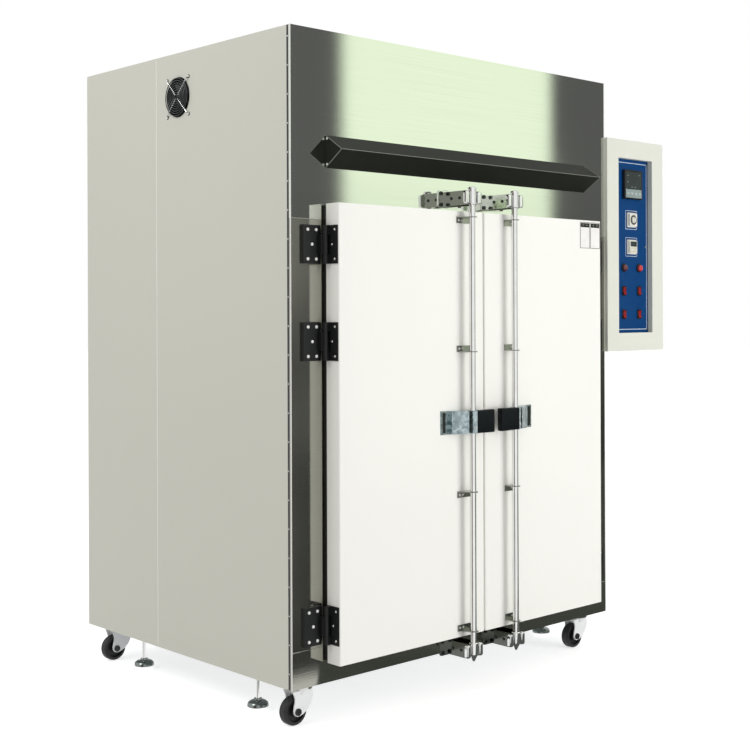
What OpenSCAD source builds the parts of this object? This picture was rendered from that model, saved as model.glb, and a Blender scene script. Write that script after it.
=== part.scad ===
// Industrial drying oven on casters: a sheet-metal cabinet with a stainless front frame, two hinged
// doors locked by turning rods, a heat deflector above them, a fan outlet in the left side and a
// control box on the right side. Millimetres, +Z up, -Y is the front.

/* [Body] */
// Width of the body across its front
body_w = 1300; // [1240:5:1600]
// Depth of the body, front plane to rear face
body_d = 1000; // [940:5:1300]
// Height of the body without its casters
body_h = 1700; // [1640:5:2000]
// Thickness of the sheet metal
sheet = 2; // [1:0.5:3]
// Gap between neighbouring outer panels
seam = 3; // [1:0.5:6]
// Distance from the front plane to the seam in each side
side_seam_y = 614; // [580:1:700]
// Width of the inward folds on the panel edges
panel_fold = 18; // [8:1:30]

/* [Front frame] */
// Width of the upright frame panel beside the chamber opening
stile_w = 143; // [135:1:160]
// Height of the frame panel above the chamber opening
header_h = 494; // [420:1:560]
// Height of the frame panel below the chamber opening
sill_h = 96; // [90:1:120]
// Depth of the frame's folded outer edge
edge_fold = 14; // [8:1:20]
// Width of the open groove behind the folded edge
groove_w = 8; // [4:1:14]
// Depth of the groove
groove_depth = 10; // [6:1:14]
// Length of the lap behind the side panel
groove_lap = 40; // [24:1:60]
// Depth of the frame's return into the chamber
chamber_return = 40; // [20:1:60]

/* [Chamber] */
// Inner depth of the chamber from the front plane
chamber_d = 850; // [700:5:900]

/* [Doors] */
// Overlap of the doors over the frame at the sides
door_overlap = 38; // [30:1:44]
// Overlap of the doors over the frame above and below
door_overlap_z = 41.5; // [30:0.5:44]
// Distance of the middle of the pair of doors from the middle of the body
pair_x = 6; // [0:0.5:8]
// Distance of the doors' meeting line from the middle of the pair
meeting_offset = 4; // [0:1:20]
// Gap between the two doors
door_gap = 5; // [5:0.5:10]
// Thickness of the door pan
door_t = 50; // [40:1:60]
// Thickness of the door seal
seal_t = 10; // [8:0.5:14]
// Width of the door seal
seal_w = 22; // [14:1:28]
// Inset of the seal from the door's edge
seal_inset = 4; // [2:1:8]
// Radius of the door pan's front edges
door_edge_r = 4; // [2:0.5:8]

/* [Hinges] */
// Height of a hinge
hinge_h = 100; // [90:1:110]
// Width of the hinge leaf on the frame
hinge_leaf_w = 57; // [40:1:60]
// Thickness of the hinge leaf on the frame
hinge_leaf_t = 8; // [5:0.5:9]
// Thickness of the hinge leaf on the door
door_leaf_t = 2.5; // [2:0.5:3]
// Distance of the hinge leaf from the door's front and back
door_leaf_inset = 3; // [1:0.5:6]
// Distance of the hinge pin from the side of the door
pin_out = 12; // [11.5:0.5:14]
// Distance of the hinge pin in front of the front plane
pin_front = 20; // [18:0.5:22]
// Radius of the hinge barrel
barrel_r = 8; // [7:0.5:8.5]
// Radius of the hinge pin
pin_r = 4; // [3:0.5:5]
// Heights of the hinge centres above the door's lower edge
hinge_z = [101, 835, 1086];

/* [Lock rods] */
// Radius of a lock rod
rod_r = 9; // [7:0.5:10]
// Distance of a rod's axis in front of the door face
rod_front = 28; // [27:0.5:34]
// Distance of the left rod from the meeting line
left_rod_inset = 78; // [76:1:120]
// Distance of the right rod from the meeting line
right_rod_inset = 101; // [80:1:130]
// Reach of a rod past its keepers
rod_overrun = 10; // [6:1:14]
// Radius of the collar at the top of a rod
collar_r = 12; // [11:0.5:13]
// Radius of the pointed cam at the bottom of a rod
cam_r = 13; // [11.5:0.5:14]
// Radius of the blunt end of the cam
cam_tip_r = 3; // [1:0.5:5]
// Height over which the rod widens to its collar and its cam
rod_step = 2; // [1:0.5:4]
// Reach of a cam's tooth from the rod's axis
tooth_reach = 15.5; // [14:0.5:15.5]
// Thickness of a cam's tooth
tooth_t = 8; // [5:0.5:9]
// Radial clearance of a rod in its guides
rod_clear = 0.1; // [0.05:0.01:0.1]

/* [Rod guides and keepers] */
// Width of a guide's base plate
guide_w = 50; // [44:1:60]
// Height of a guide's base plate
guide_h = 18; // [14:1:26]
// Reach of a guide's base plate from the rod towards the hinges
guide_tail = 35; // [30:1:40]
// Thickness of a guide's plates
guide_t = 2.5; // [2:0.5:4]
// Radius of the ring round a rod
guide_ring_r = 14; // [13:0.5:16]
// Distance of the end guides from the upper and lower edges of the door
guide_end = 16; // [14:1:40]
// Distance of the middle guides from the handle's centre
guide_mid = 204; // [120:1:260]
// Width of a keeper's base plate
keeper_base_w = 96; // [60:1:110]
// Height of a keeper's base plate
keeper_base_h = 50; // [44:1:54]
// Width of a keeper's fork
keeper_w = 47; // [46:0.5:52]
// Height of a keeper's fork
keeper_h = 40; // [30:1:44]
// Thickness of a keeper's base plate and cheeks
keeper_t = 3; // [2:0.5:3]
// Gap between a keeper and the door's edge
keeper_gap = 17; // [12:1:24]
// Distance of a keeper's outer end in front of the front plane
keeper_reach = 92; // [60:1:94]

/* [Handles] */
// Height of a handle's centre above the middle of the door
handle_up = 6.5; // [-60:0.5:60]
// Height of a handle grip at its rod
grip_h = 63; // [50:1:80]
// Height of a handle grip at its free end
grip_end_h = 65; // [50:1:80]
// Thickness of a handle grip
grip_t = 20; // [16:0.5:22]
// Distance of the grip's front face in front of the rod's axis
grip_front = 17; // [15:0.5:18]
// Reach of the grip from its rod's axis
grip_reach = 75; // [60:1:76]
// Distance from the rod's axis to the grip's near end
grip_start = 1; // [0:0.5:6]
// Radius of the grip's upright edges
grip_r = 5; // [2:0.5:8]
// Wall of the sleeve that holds a grip on its rod
hub_wall = 4; // [3:0.5:5]
// Reach of the sleeve's cheek from the rod's axis towards the latch cover
cheek_back = 12; // [8:0.5:12]
// Distance from the rod's axis to the near end of the latch cover
cover_near = 22.5; // [22.5:0.5:26]
// Distance from the rod's axis to the far end of the latch cover's slope
cover_far = 70; // [60:1:90]
// Height of the latch cover's far end above the door
cover_end = 14; // [6:1:18]
// Slope of the latch cover's front, in degrees
cover_slope = 24; // [16:1:25]
// Width of the foot of the latch cover
cover_foot = 31; // [10:1:32]
// Height of the latch cover at its near end
cover_near_h = 62; // [50:1:80]
// Height of the latch cover at its far end
cover_far_h = 66; // [50:1:80]

/* [Plates] */
// Width of one blank plate
plate_w = 48; // [30:1:50]
// Height of one blank plate
plate_h = 82; // [60:1:120]
// Thickness of a blank plate
plate_t = 1; // [0.5:0.25:2]
// Corner radius of a blank plate
plate_r = 3; // [1:0.5:6]
// Distance of the blank plates from the door's edges
plate_inset = 5; // [5:1:20]
// Gap between the blank plates
plate_gap = 2; // [1:0.5:6]

/* [Heat deflector] */
// Length of the deflector
deflector_w = 1076; // [1000:1:1120]
// Height of the deflector at the wall
deflector_h = 85; // [60:1:100]
// Depth of the deflector
deflector_d = 65; // [50:1:80]
// Height of the deflector's lower edge above the doors
deflector_up = 94; // [90:1:140]
// Height of the deflector's ridge above its lower edge
deflector_ridge = 44; // [30:1:50]

/* [Control box] */
// Width of the control box
box_w = 304; // [260:1:340]
// Height of the control box
box_h = 690; // [640:1:760]
// Depth of the control box
box_d = 232; // [180:1:300]
// Radius of the control box's upright and level edges
box_r = 3; // [1:0.5:8]
// Height of the control box above the body's underside
box_up = 836; // [700:1:900]
// Distance by which the control box stands in front of the front plane
box_proud = 12; // [6:1:20]
// Width of the window in the control box
window_w = 184; // [170:1:200]
// Height of the window in the control box
window_h = 571; // [560:1:600]
// Distance from the window's upper edge to the top of the box
window_drop = 60; // [40:1:70]
// Depth of the recess in front of the control panel
recess = 18; // [14:1:30]
// Thickness of the control panel
panel_t = 2; // [1.5:0.5:4]
// Lap of the control panel behind the box's window
panel_lap = 10; // [6:1:20]

/* [Controls] */
// Side of the square temperature controller
controller_s = 96; // [90:1:100]
// Distance that the controller stands out of the panel
controller_out = 12; // [8:1:14]
// Side of a square timer
timer_s = 48; // [40:1:56]
// Distance that a timer stands out of the panel
timer_out = 10; // [8:1:14]
// Radius of a lamp's bezel
bezel_r = 14; // [11:0.5:16]
// Distance that a lamp stands out of the panel
lamp_out = 12; // [8:1:14]
// Width of a rocker switch's bezel
rocker_w = 22; // [18:1:26]
// Height of a rocker switch's bezel
rocker_h = 31; // [26:1:36]
// Distance that a rocker's bezel stands out of the panel
rocker_out = 3; // [2:0.5:5]
// Rock of a switch's key to each side
rocker_tilt = 8; // [4:1:12]
// Distance of the lamps and switches from the panel's centre line
column_x = 41; // [36:1:50]
// Drop of the controller's middle below the window's upper edge
controller_drop = 83; // [70:1:100]
// Drops of the two timers below the window's upper edge
timer_drops = [199, 288];
// Drop of the lamps below the window's upper edge
lamp_drop = 357; // [350:1:370]
// Drops of the two rows of switches below the window's upper edge
rocker_drops = [433, 510];
// Corner radius of the controls on the panel
control_r = 2; // [1:0.5:3]
// Width of the rim round the controller's face
controller_rim = 4; // [2:0.5:8]
// Depth of the controller's face behind its rim
controller_face = 2; // [1:0.5:4]
// Inset of a timer's body from its flange
timer_inset = 3; // [1:0.5:5]
// Thickness of a timer's flange
timer_flange = 2; // [1:0.5:4]
// Radius of the upper timer's dial
dial_r = 16; // [10:1:20]
// Distance that the dial stands out of its timer
dial_out = 3; // [1:0.5:5]
// Width of a lamp's bezel round its lens
bezel_w = 3; // [2:0.5:4]
// Width of a rocker's bezel round its key
rocker_rim = 4; // [2:0.5:6]

/* [Fan] */
// Side of the square fan frame
fan_s = 119; // [115:1:124]
// Depth of the fan frame
fan_d = 38; // [30:1:45]
// Corner radius of the fan frame
fan_corner_r = 6; // [2:0.5:10]
// Radius of the hole for the fan
fan_r = 57; // [54:0.5:57]
// Gap between the blade tips and the hole
fan_tip_gap = 1.5; // [1:0.25:3]
// Radius of the fan hub
fan_hub_r = 22; // [18:0.5:28]
// Number of fan blades
blades = 7; // [5:1:9]
// Pitch angle of a blade
blade_pitch = 38; // [25:1:50]
// Width of a spoke at the back of the fan frame
spoke_w = 5; // [3:0.5:8]
// Thickness of the spokes and the motor plate
spoke_t = 4; // [3:0.5:6]
// Height of the post between the motor plate and the rotor
post_h = 4; // [3:0.5:6]
// Depth of the rotor's blades
rotor_d = 26; // [18:1:28]
// Length of a blade's section across its pitch
chord = 24; // [16:1:30]
// Thickness of a fan blade
blade_t = 2; // [1:0.5:3]
// Distance of the rotor's hub behind the blades' front
hub_back = 3; // [1:0.5:6]
// Distance of the fan's axis from the front plane
fan_y = 502; // [400:1:520]
// Distance of the fan's axis below the top of the body
fan_drop = 125; // [100:1:300]
// Spacing of the guard's screws
guard_pitch = 104.8; // [104:0.1:106]
// Radius of the wire of the guard's rings
wire_r = 1.3; // [1:0.1:1.5]
// Radius of the wire of the guard's legs
leg_r = 1.5; // [1.2:0.1:1.8]
// Distance of the guard's rings in front of the panel
guard_out = 6; // [4:0.5:10]
// Number of rings in the guard
guard_rings = 8; // [5:1:9]

/* [Casters] */
// Radius of a caster wheel
wheel_r = 37.5; // [30:0.5:45]
// Width of a caster wheel
wheel_w = 25; // [20:1:30]
// Gap on each side of a wheel, and twice that above it, in its fork
fork_gap = 3; // [2:0.5:5]
// Thickness of the fork's sheet
fork_t = 3; // [2:0.5:4]
// Width of a fork's cheek
cheek_w = 34; // [24:1:40]
// Reach of a fork's crown behind the middle of its cheeks' width
crown_lap = 6; // [2:1:10]
// Distance of the wheel's axle behind the swivel axis
trail = 27; // [20:1:32]
// Radius of the swivel race
race_r = 32; // [26:1:36]
// Step in radius between the race's upper and lower halves
race_step = 4; // [2:0.5:6]
// Height of the swivel race
race_h = 18; // [12:1:24]
// Thickness of a caster's top plate
top_plate_t = 5; // [3:0.5:8]
// Length of a caster's top plate
top_plate_l = 92; // [80:1:100]
// Width of a caster's top plate
top_plate_w = 70; // [66:1:90]
// Corner radius of a caster's top plate
top_plate_r = 8; // [3:1:12]
// Radius of the axle
axle_r = 5; // [4:0.5:6]
// Length of the axle outside each cheek
axle_end = 4; // [2:0.5:6]
// Radius of the kingpin that a fork turns on
kingpin_r = 7; // [5:0.5:9]
// Distance of the kingpin's end below the body's floor
kingpin_end = 4; // [3:0.5:6]
// Width of a wheel's tread in its radius
tread_t = 9; // [6:0.5:12]
// Radius of a wheel's hub
wheel_hub_r = 14; // [10:0.5:18]
// Half of the thickness of a wheel's web
web_half = 4; // [3:0.5:6]
// Width of the crowned edge of the tread
crown_w = 4; // [2:0.5:6]
// Depth of the crowned edge of the tread
crown_d = 2; // [1:0.5:3]
// Distance of the swivel axes from the body's sides
caster_x = 76; // [70:1:110]
// Distance of the front swivel axes from the front plane
caster_front = 57; // [52:1:110]
// Distance of the rear swivel axes from the rear face
caster_rear = 62; // [52:1:110]

/* [Levelling feet] */
// Radius of a foot's base
foot_r = 29; // [20:0.5:34]
// Height of the upright rim of a foot's base
foot_rim = 3; // [2:0.5:5]
// Radius of the neck above a foot's dome
foot_neck_r = 11; // [9:0.5:14]
// Height of the neck above a foot's dome
foot_neck_h = 4; // [2:0.5:6]
// Height of a foot's base
foot_h = 20; // [14:1:24]
// Height of a raised foot above the floor
foot_clear = 12; // [8:1:16]
// Radius of a foot's spindle
spindle_r = 6; // [5:0.5:8]
// Spare length of spindle above its nut
spindle_spare = 18; // [8:1:22]
// Height of the nut welded in the body's floor
nut_h = 12; // [8:1:16]
// Radial clearance of the spindle in its nut
spindle_clear = 0.1; // [0.05:0.01:0.1]
// Distance of the feet from the body's sides
foot_x = 60; // [50:1:80]
// Distance of the front feet from the front plane
foot_front = 220; // [180:1:260]
// Distance of the rear feet from the rear face
foot_rear = 220; // [180:1:260]

/* [Fits] */
// Clearance between pieces that turn face to face
turn_gap = 0.5; // [0.3:0.1:1]
// Radial clearance of pins and axles
pin_clear = 0.1; // [0.05:0.01:0.1]

/* [Hidden] */
$fn = 64;
cut = 1;

floor_gap = 2 * wheel_r + 2 * fork_gap + fork_t + turn_gap + race_h + top_plate_t + turn_gap;
top_z = floor_gap + body_h;
half_w = body_w / 2;
fan_out = guard_out + wire_r;
edge_depth = edge_fold + groove_w + groove_lap;

// Chamber opening
open_half = half_w - stile_w;
open_low = floor_gap + sill_h;
open_high = top_z - header_h;

// Doors
door_low = open_low - door_overlap_z;
door_high = open_high + door_overlap_z;
door_h = door_high - door_low;
door_side = open_half + door_overlap;
door_back = -seal_t;
door_face = door_back - door_t;
handle_z = (door_low + door_high) / 2 + handle_up;
rod_y = door_face - rod_front;
pin_x = door_side + pin_out;

// Keepers and rods
keeper_top_z = door_high + keeper_gap + keeper_h / 2;
keeper_low_z = door_low - keeper_gap - keeper_h / 2;
rod_top = keeper_top_z + keeper_h / 2 + rod_overrun;
rod_low = keeper_low_z - keeper_h / 2 - rod_overrun;
hub_r = rod_r + hub_wall;
grip_y = rod_y - grip_front;
front_y = rod_y - max(guide_ring_r, grip_front, cam_r, hub_r);

// Place of each rod and meeting edge, for the left (-1) and the right (1) door
function rod_at(side) = meeting_offset + side * (side < 0 ? left_rod_inset : right_rod_inset);
function meeting_at(side) = meeting_offset + side * door_gap / 2;

// The origin is the middle of the whole object's box, on the floor
shift_x = -(box_w - fan_out) / 2;
shift_y = -(body_d + front_y) / 2;

// Control box
box_low = floor_gap + box_up;
window_top = box_low + box_h - window_drop;
window_x = half_w + box_w / 2;
panel_y = -box_proud + recess;

// Fan
fan_z = top_z - fan_drop;

// Casters and feet
axle_z = wheel_r;
crown_z = 2 * wheel_r + 2 * fork_gap;
crown_back = cheek_w / 2 + crown_lap;
race_z = crown_z + fork_t + turn_gap;
caster_spots = [for (y = [caster_front, body_d - caster_rear]) for (s = [-1, 1]) [s * (half_w - caster_x), y]];
foot_spots = [for (y = [foot_front, body_d - foot_rear]) for (s = [-1, 1]) [s * (half_w - foot_x), y]];

// Frame of the object: the body's own frame has its X zero in the body's middle and its Y zero on the front plane
module place() {
    translate([shift_x, shift_y, 0])
        children();
}

// Frame of the pair of doors, whose middle lies a little beside the body's middle
module place_doors() {
    translate([shift_x + pair_x, shift_y, 0])
        children();
}

// A piece drawn for the left side, kept there for -1 and mirrored to the right for 1
module on_side(side) {
    mirror([side > 0 ? 1 : 0, 0, 0])
        children();
}

// A box given by its two corners
module span(a, b) {
    translate(a)
        cube(b - a);
}

// A plate with rounded corners that stands upright, its back on the XZ plane, centred on the origin
module upright_plate(w, h, t, r) {
    rotate([90, 0, 0])
        linear_extrude(t)
            rounded_square(w, h, r);
}

// A rectangle with round corners, centred on the origin
module rounded_square(w, h, r) {
    union() {
        square([w - 2 * r, h], center = true);
        square([w, h - 2 * r], center = true);
        for (x = [-1, 1])
            for (y = [-1, 1])
                translate([x * (w / 2 - r), y * (h / 2 - r)])
                    circle(r);
    }
}

// Side panel of the left side between two depths, its folds at both ends turned inward
module side_panel(y0, y1) {
    span([-half_w, y0, floor_gap], [-half_w + sheet, y1, top_z - sheet]);
    span([-half_w, y0, floor_gap + sheet], [-half_w + groove_depth - sheet, y0 + sheet, top_z - sheet]);
    span([-half_w, y1 - sheet, floor_gap + sheet], [-half_w + panel_fold, y1, top_z - sheet]);
}

// Front panel of one side, from the groove to the seam
module front_side_panel() {
    side_panel(edge_fold + groove_w, side_seam_y - seam / 2);
}

// Rear panel of one side, from the seam to the rear sheet
module rear_side_panel() {
    span([-half_w, side_seam_y + seam / 2, floor_gap], [-half_w + sheet, body_d - sheet, top_z - sheet]);
    span([-half_w, side_seam_y + seam / 2, floor_gap + sheet],
         [-half_w + panel_fold, side_seam_y + seam / 2 + sheet, top_z - sheet]);
}

module left_front_side_panel() {
    color("gainsboro")
        place()
            difference() {
                front_side_panel();
                translate([-half_w - cut, fan_y, fan_z])
                    rotate([0, 90, 0])
                        cylinder(r = fan_r, h = sheet + 2 * cut);
            }
}

module left_rear_side_panel() {
    color("gainsboro")
        place()
            rear_side_panel();
}

module right_front_side_panel() {
    color("gainsboro")
        place()
            on_side(1)
                front_side_panel();
}

module right_rear_side_panel() {
    color("gainsboro")
        place()
            on_side(1)
                rear_side_panel();
}

module rear_panel() {
    color("gainsboro")
        place()
            span([-half_w, body_d - sheet, floor_gap], [half_w, body_d, top_z - sheet]);
}

module top_panel() {
    color("gainsboro")
        place()
            span([-half_w, chamber_return, top_z - sheet], [half_w, body_d, top_z]);
}

// Floor of the body with a welded nut for each levelling foot
module bottom_panel() {
    color("gray")
        place()
            difference() {
                union() {
                    span([-half_w + sheet, edge_depth, floor_gap], [half_w - sheet, body_d - sheet, floor_gap + sheet]);
                    for (p = foot_spots)
                        translate([p.x, p.y, floor_gap + sheet])
                            cylinder(r = 2 * spindle_r, h = nut_h, $fn = 6);
                }
                for (p = foot_spots)
                    translate([p.x, p.y, floor_gap - cut])
                        cylinder(r = spindle_r + spindle_clear, h = sheet + nut_h + 2 * cut);
            }
}

// Outline of the frame's outer edge seen from above: front strip, folded edge, groove floor and lap
module edge_outline(front_w) {
    lap = groove_depth - sheet;
    difference() {
        square([front_w, edge_depth]);
        translate([sheet, sheet])
            square([front_w, edge_fold - 2 * sheet]);
        translate([-cut, edge_fold])
            square([lap + cut, groove_w + groove_lap + cut]);
        translate([groove_depth, sheet])
            square([front_w, edge_depth]);
    }
}

// Upright of the frame, drawn for the left side
module stile() {
    translate([-half_w, 0, open_low])
        linear_extrude(open_high - open_low) {
            edge_outline(stile_w);
            translate([stile_w - sheet, 0])
                square([sheet, chamber_return]);
        }
}

module left_stile() {
    color("silver")
        place()
            stile();
}

module right_stile() {
    color("silver")
        place()
            on_side(1)
                stile();
}

// Both outer edges of the header or the sill, with the front sheet between them
module frame_face(z0, z1) {
    for (side = [-1, 1])
        on_side(side)
            translate([-half_w, 0, z0])
                linear_extrude(z1 - z0)
                    edge_outline(half_w + cut);
}

module header_panel() {
    color("silver")
        place()
            union() {
                frame_face(open_high, top_z - sheet);
                span([-half_w, 0, top_z - sheet], [half_w, chamber_return, top_z]);
                span([-open_half, 0, open_high], [open_half, chamber_return, open_high + sheet]);
            }
}

module sill_panel() {
    color("silver")
        place()
            union() {
                frame_face(floor_gap, open_low);
                span([-open_half, 0, open_low - sheet], [open_half, chamber_return, open_low]);
                span([-half_w + groove_depth, 0, floor_gap], [half_w - groove_depth, edge_depth, floor_gap + sheet]);
            }
}

// One side wall of the chamber, drawn for the left side
module chamber_wall() {
    span([-open_half - sheet, chamber_return, open_low], [-open_half, chamber_d, open_high]);
}

module chamber_left_wall() {
    color("lightgray")
        place()
            chamber_wall();
}

module chamber_right_wall() {
    color("lightgray")
        place()
            on_side(1)
                chamber_wall();
}

module chamber_ceiling() {
    color("lightgray")
        place()
            span([-open_half - sheet, chamber_return, open_high], [open_half + sheet, chamber_d, open_high + sheet]);
}

module chamber_floor() {
    color("lightgray")
        place()
            span([-open_half - sheet, chamber_return, open_low - sheet], [open_half + sheet, chamber_d, open_low]);
}

module chamber_back() {
    color("lightgray")
        place()
            span([-open_half - sheet, chamber_d, open_low - sheet],
                 [open_half + sheet, chamber_d + sheet, open_high + sheet]);
}

// Outline of the deflector seen from its end
module deflector_outline() {
    polygon([[0, 0], [0, deflector_h], [-deflector_d, deflector_ridge]]);
}

// Folded deflector with closed ends
module heat_deflector() {
    color("black")
        place()
            translate([pair_x - deflector_w / 2, 0, door_high + deflector_up])
                rotate([90, 0, 90])
                    difference() {
                        linear_extrude(deflector_w)
                            deflector_outline();
                        translate([0, 0, sheet])
                            linear_extrude(deflector_w - 2 * sheet)
                                polygon([
                                    [cut, 2 * sheet],
                                    [cut, deflector_h - 2 * sheet],
                                    [-deflector_d + 2 * sheet, deflector_ridge]
                                ]);
                    }
}

// Keeper of a lock rod: a base plate and two cheeks that the rod's tooth turns between
module keeper() {
    upright_plate(keeper_base_w, keeper_base_h, keeper_t, keeper_h / 5);
    for (side = [-1, 1])
        on_side(side)
            translate([-keeper_w / 2, 0, 0])
                rotate([90, 0, 90])
                    linear_extrude(keeper_t)
                        keeper_cheek();
}

// Outline of a keeper's cheek, with its outer corners rounded
module keeper_cheek() {
    round_r = keeper_h / 4;
    union() {
        translate([-keeper_reach + round_r, -keeper_h / 2])
            square([keeper_reach - round_r, keeper_h]);
        translate([-keeper_reach, -keeper_h / 2 + round_r])
            square([keeper_reach, keeper_h - 2 * round_r]);
        for (z = [-1, 1])
            translate([-keeper_reach + round_r, z * (keeper_h / 2 - round_r)])
                circle(round_r);
    }
}

module rod_keepers() {
    color("silver")
        place_doors()
            for (side = [-1, 1])
                for (z = [keeper_low_z, keeper_top_z])
                    translate([rod_at(side), 0, z])
                        keeper();
}

// Fixed half of a hinge: leaf on the frame, middle barrel and pin, drawn for the left side
module frame_hinge() {
    barrel_h = hinge_h / 2;
    union() {
        translate([-pin_x - pin_out / 2 - hinge_leaf_w, -hinge_leaf_t, -hinge_h / 2])
            cube([hinge_leaf_w, hinge_leaf_t, hinge_h]);
        translate([-pin_x - pin_out / 2 - hinge_leaf_t, -pin_front, -barrel_h / 2])
            cube([pin_out / 2 + hinge_leaf_t, pin_front - hinge_leaf_t + cut, barrel_h]);
        translate([-pin_x, -pin_front, -barrel_h / 2])
            cylinder(r = barrel_r, h = barrel_h);
        translate([-pin_x, -pin_front, -hinge_h / 2])
            cylinder(r = pin_r, h = hinge_h);
    }
}

module frame_hinges() {
    color("black")
        place_doors()
            for (side = [-1, 1])
                for (z = hinge_z)
                    on_side(side)
                        translate([0, 0, door_low + z])
                            frame_hinge();
}

// Moving half of a hinge: leaf on the side of the door and the two ears round the pin
module door_hinge() {
    ear_h = hinge_h / 4 - turn_gap;
    leaf_back = door_back - door_leaf_inset;
    leaf_front = door_face + door_leaf_inset;
    difference() {
        union() {
            translate([-door_side - door_leaf_t, leaf_front, -hinge_h / 2])
                cube([door_leaf_t, leaf_back - leaf_front, hinge_h]);
            for (z = [-hinge_h / 2, hinge_h / 2 - ear_h])
                translate([-pin_x, -pin_front, z]) {
                    cylinder(r = barrel_r, h = ear_h);
                    translate([0, -barrel_r, 0])
                        cube([pin_out - door_leaf_t, 2 * barrel_r - cut, ear_h]);
                }
        }
        translate([-pin_x, -pin_front, -hinge_h / 2 - cut])
            cylinder(r = pin_r + pin_clear, h = hinge_h + 2 * cut);
    }
}

module door_hinges(side) {
    color("black")
        place_doors()
            for (z = hinge_z)
                on_side(side)
                    translate([0, 0, door_low + z])
                        door_hinge();
}

// Space taken by one door between two depths, inset from its edges
module door_block(side, y0, y1, inset) {
    outer = side * (door_side - inset);
    inner = meeting_at(side) + side * inset;
    span([min(outer, inner), y0, door_low + inset], [max(outer, inner), y1, door_high - inset]);
}

// Folded door pan, open at the back, with its front edges rounded
module door_pan(side) {
    outer = side * door_side;
    inner = meeting_at(side);
    width = abs(outer - inner);
    color("ivory")
        place_doors()
            difference() {
                translate([(outer + inner) / 2, 0, door_low])
                    linear_extrude(door_h)
                        pan_outline(width);
                door_block(side, door_face + sheet, door_back + cut, sheet);
            }
}

// Outline of the pan seen from above, centred on its width
module pan_outline(width) {
    union() {
        translate([-width / 2, door_face + door_edge_r])
            square([width, door_t - door_edge_r]);
        translate([-width / 2 + door_edge_r, door_face])
            square([width - 2 * door_edge_r, door_t]);
        for (x = [-1, 1])
            translate([x * (width / 2 - door_edge_r), door_face + door_edge_r])
                circle(door_edge_r);
    }
}

// Stainless sheet that closes the back of a door
module door_liner(side) {
    color("silver")
        place_doors()
            door_block(side, door_back - sheet, door_back, sheet);
}

// Seal round the back of a door, which meets the front frame
module door_seal(side) {
    color("black")
        place_doors()
            difference() {
                door_block(side, door_back, 0, seal_inset);
                door_block(side, door_back - cut, cut, seal_inset + seal_w);
            }
}

// Guide of a lock rod: a plate on the door and an ear with a ring round the rod, ear_side tells its edge
module rod_guide(ear_side) {
    ear_z = ear_side > 0 ? guide_h / 2 - guide_t : -guide_h / 2;
    difference() {
        union() {
            translate([-guide_tail, door_face - guide_t, -guide_h / 2])
                cube([guide_w, guide_t, guide_h]);
            translate([0, 0, ear_z])
                linear_extrude(guide_t)
                    union() {
                        translate([0, rod_y])
                            circle(guide_ring_r);
                        polygon([
                            [-guide_ring_r, rod_y],
                            [guide_ring_r, rod_y],
                            [guide_w - guide_tail, door_face],
                            [-guide_tail, door_face]
                        ]);
                    }
        }
        translate([0, rod_y, -guide_h])
            cylinder(r = rod_r + rod_clear, h = 2 * guide_h);
    }
}

module rod_guides(side) {
    heights = [
        [door_low + guide_end + guide_h / 2, -1],
        [handle_z - guide_mid, 1],
        [handle_z + guide_mid, -1],
        [door_high - guide_end - guide_h / 2, 1]
    ];
    color("silver")
        place_doors()
            for (g = heights)
                translate([rod_at(side), 0, g[0]])
                    on_side(side)
                        rod_guide(g[1]);
}

// Outline seen from the front of a piece that reaches from x0 to x1, its height changing from h0 to h1
module flared_front(x0, h0, x1, h1) {
    rotate([90, 0, 0])
        linear_extrude(-rod_y + grip_t)
            polygon([[x0, -h0 / 2], [x1, -h1 / 2], [x1, h1 / 2], [x0, h0 / 2]]);
}

// Outline of the latch cover seen from above: foot, upright end and slope up to the near end
module cover_outline() {
    foot_y = door_face - guide_t;
    end_y = door_face - cover_end;
    polygon([
        [-cover_far - cover_foot, door_face],
        [-cover_far - cover_foot, foot_y],
        [-cover_far, foot_y],
        [-cover_far, end_y],
        [-cover_near, end_y - (cover_far - cover_near) * tan(cover_slope)],
        [-cover_near, door_face]
    ]);
}

// Hollow of the latch cover, open to the door and to the rod
module cover_hollow() {
    end_y = door_face - cover_end + guide_t;
    polygon([
        [-cover_far + guide_t, door_face + cut],
        [-cover_far + guide_t, end_y],
        [-cover_near + cut, end_y - (cover_far - cover_near) * tan(cover_slope)],
        [-cover_near + cut, door_face + cut]
    ]);
}

// Latch cover beside a rod: a folded sheet that slopes up from its foot and narrows towards the rod
module latch_cover(side) {
    tall = max(cover_near_h, cover_far_h);
    color("lightslategray")
        place_doors()
            translate([rod_at(side), 0, handle_z])
                on_side(side)
                    difference() {
                        intersection() {
                            translate([0, 0, -tall / 2])
                                linear_extrude(tall)
                                    cover_outline();
                            flared_front(-cover_far - cover_foot - cut, cover_far_h, -cover_near + cut, cover_near_h);
                        }
                        translate([0, 0, -cover_near_h / 2 + guide_t])
                            linear_extrude(cover_near_h - 2 * guide_t)
                                cover_hollow();
                    }
}

// Lock rod turned from one bar: domed collar at the top, pointed cam at the bottom, a tooth at each keeper
module lock_rod(side) {
    color("silver")
        place_doors()
            translate([rod_at(side), rod_y, 0])
                union() {
                    rotate_extrude()
                        rod_outline();
                    for (z = [keeper_low_z, keeper_top_z])
                        translate([-tooth_t / 2, 0, z - keeper_h / 4])
                            cube([tooth_t, tooth_reach, keeper_h / 2]);
                }
}

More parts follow.
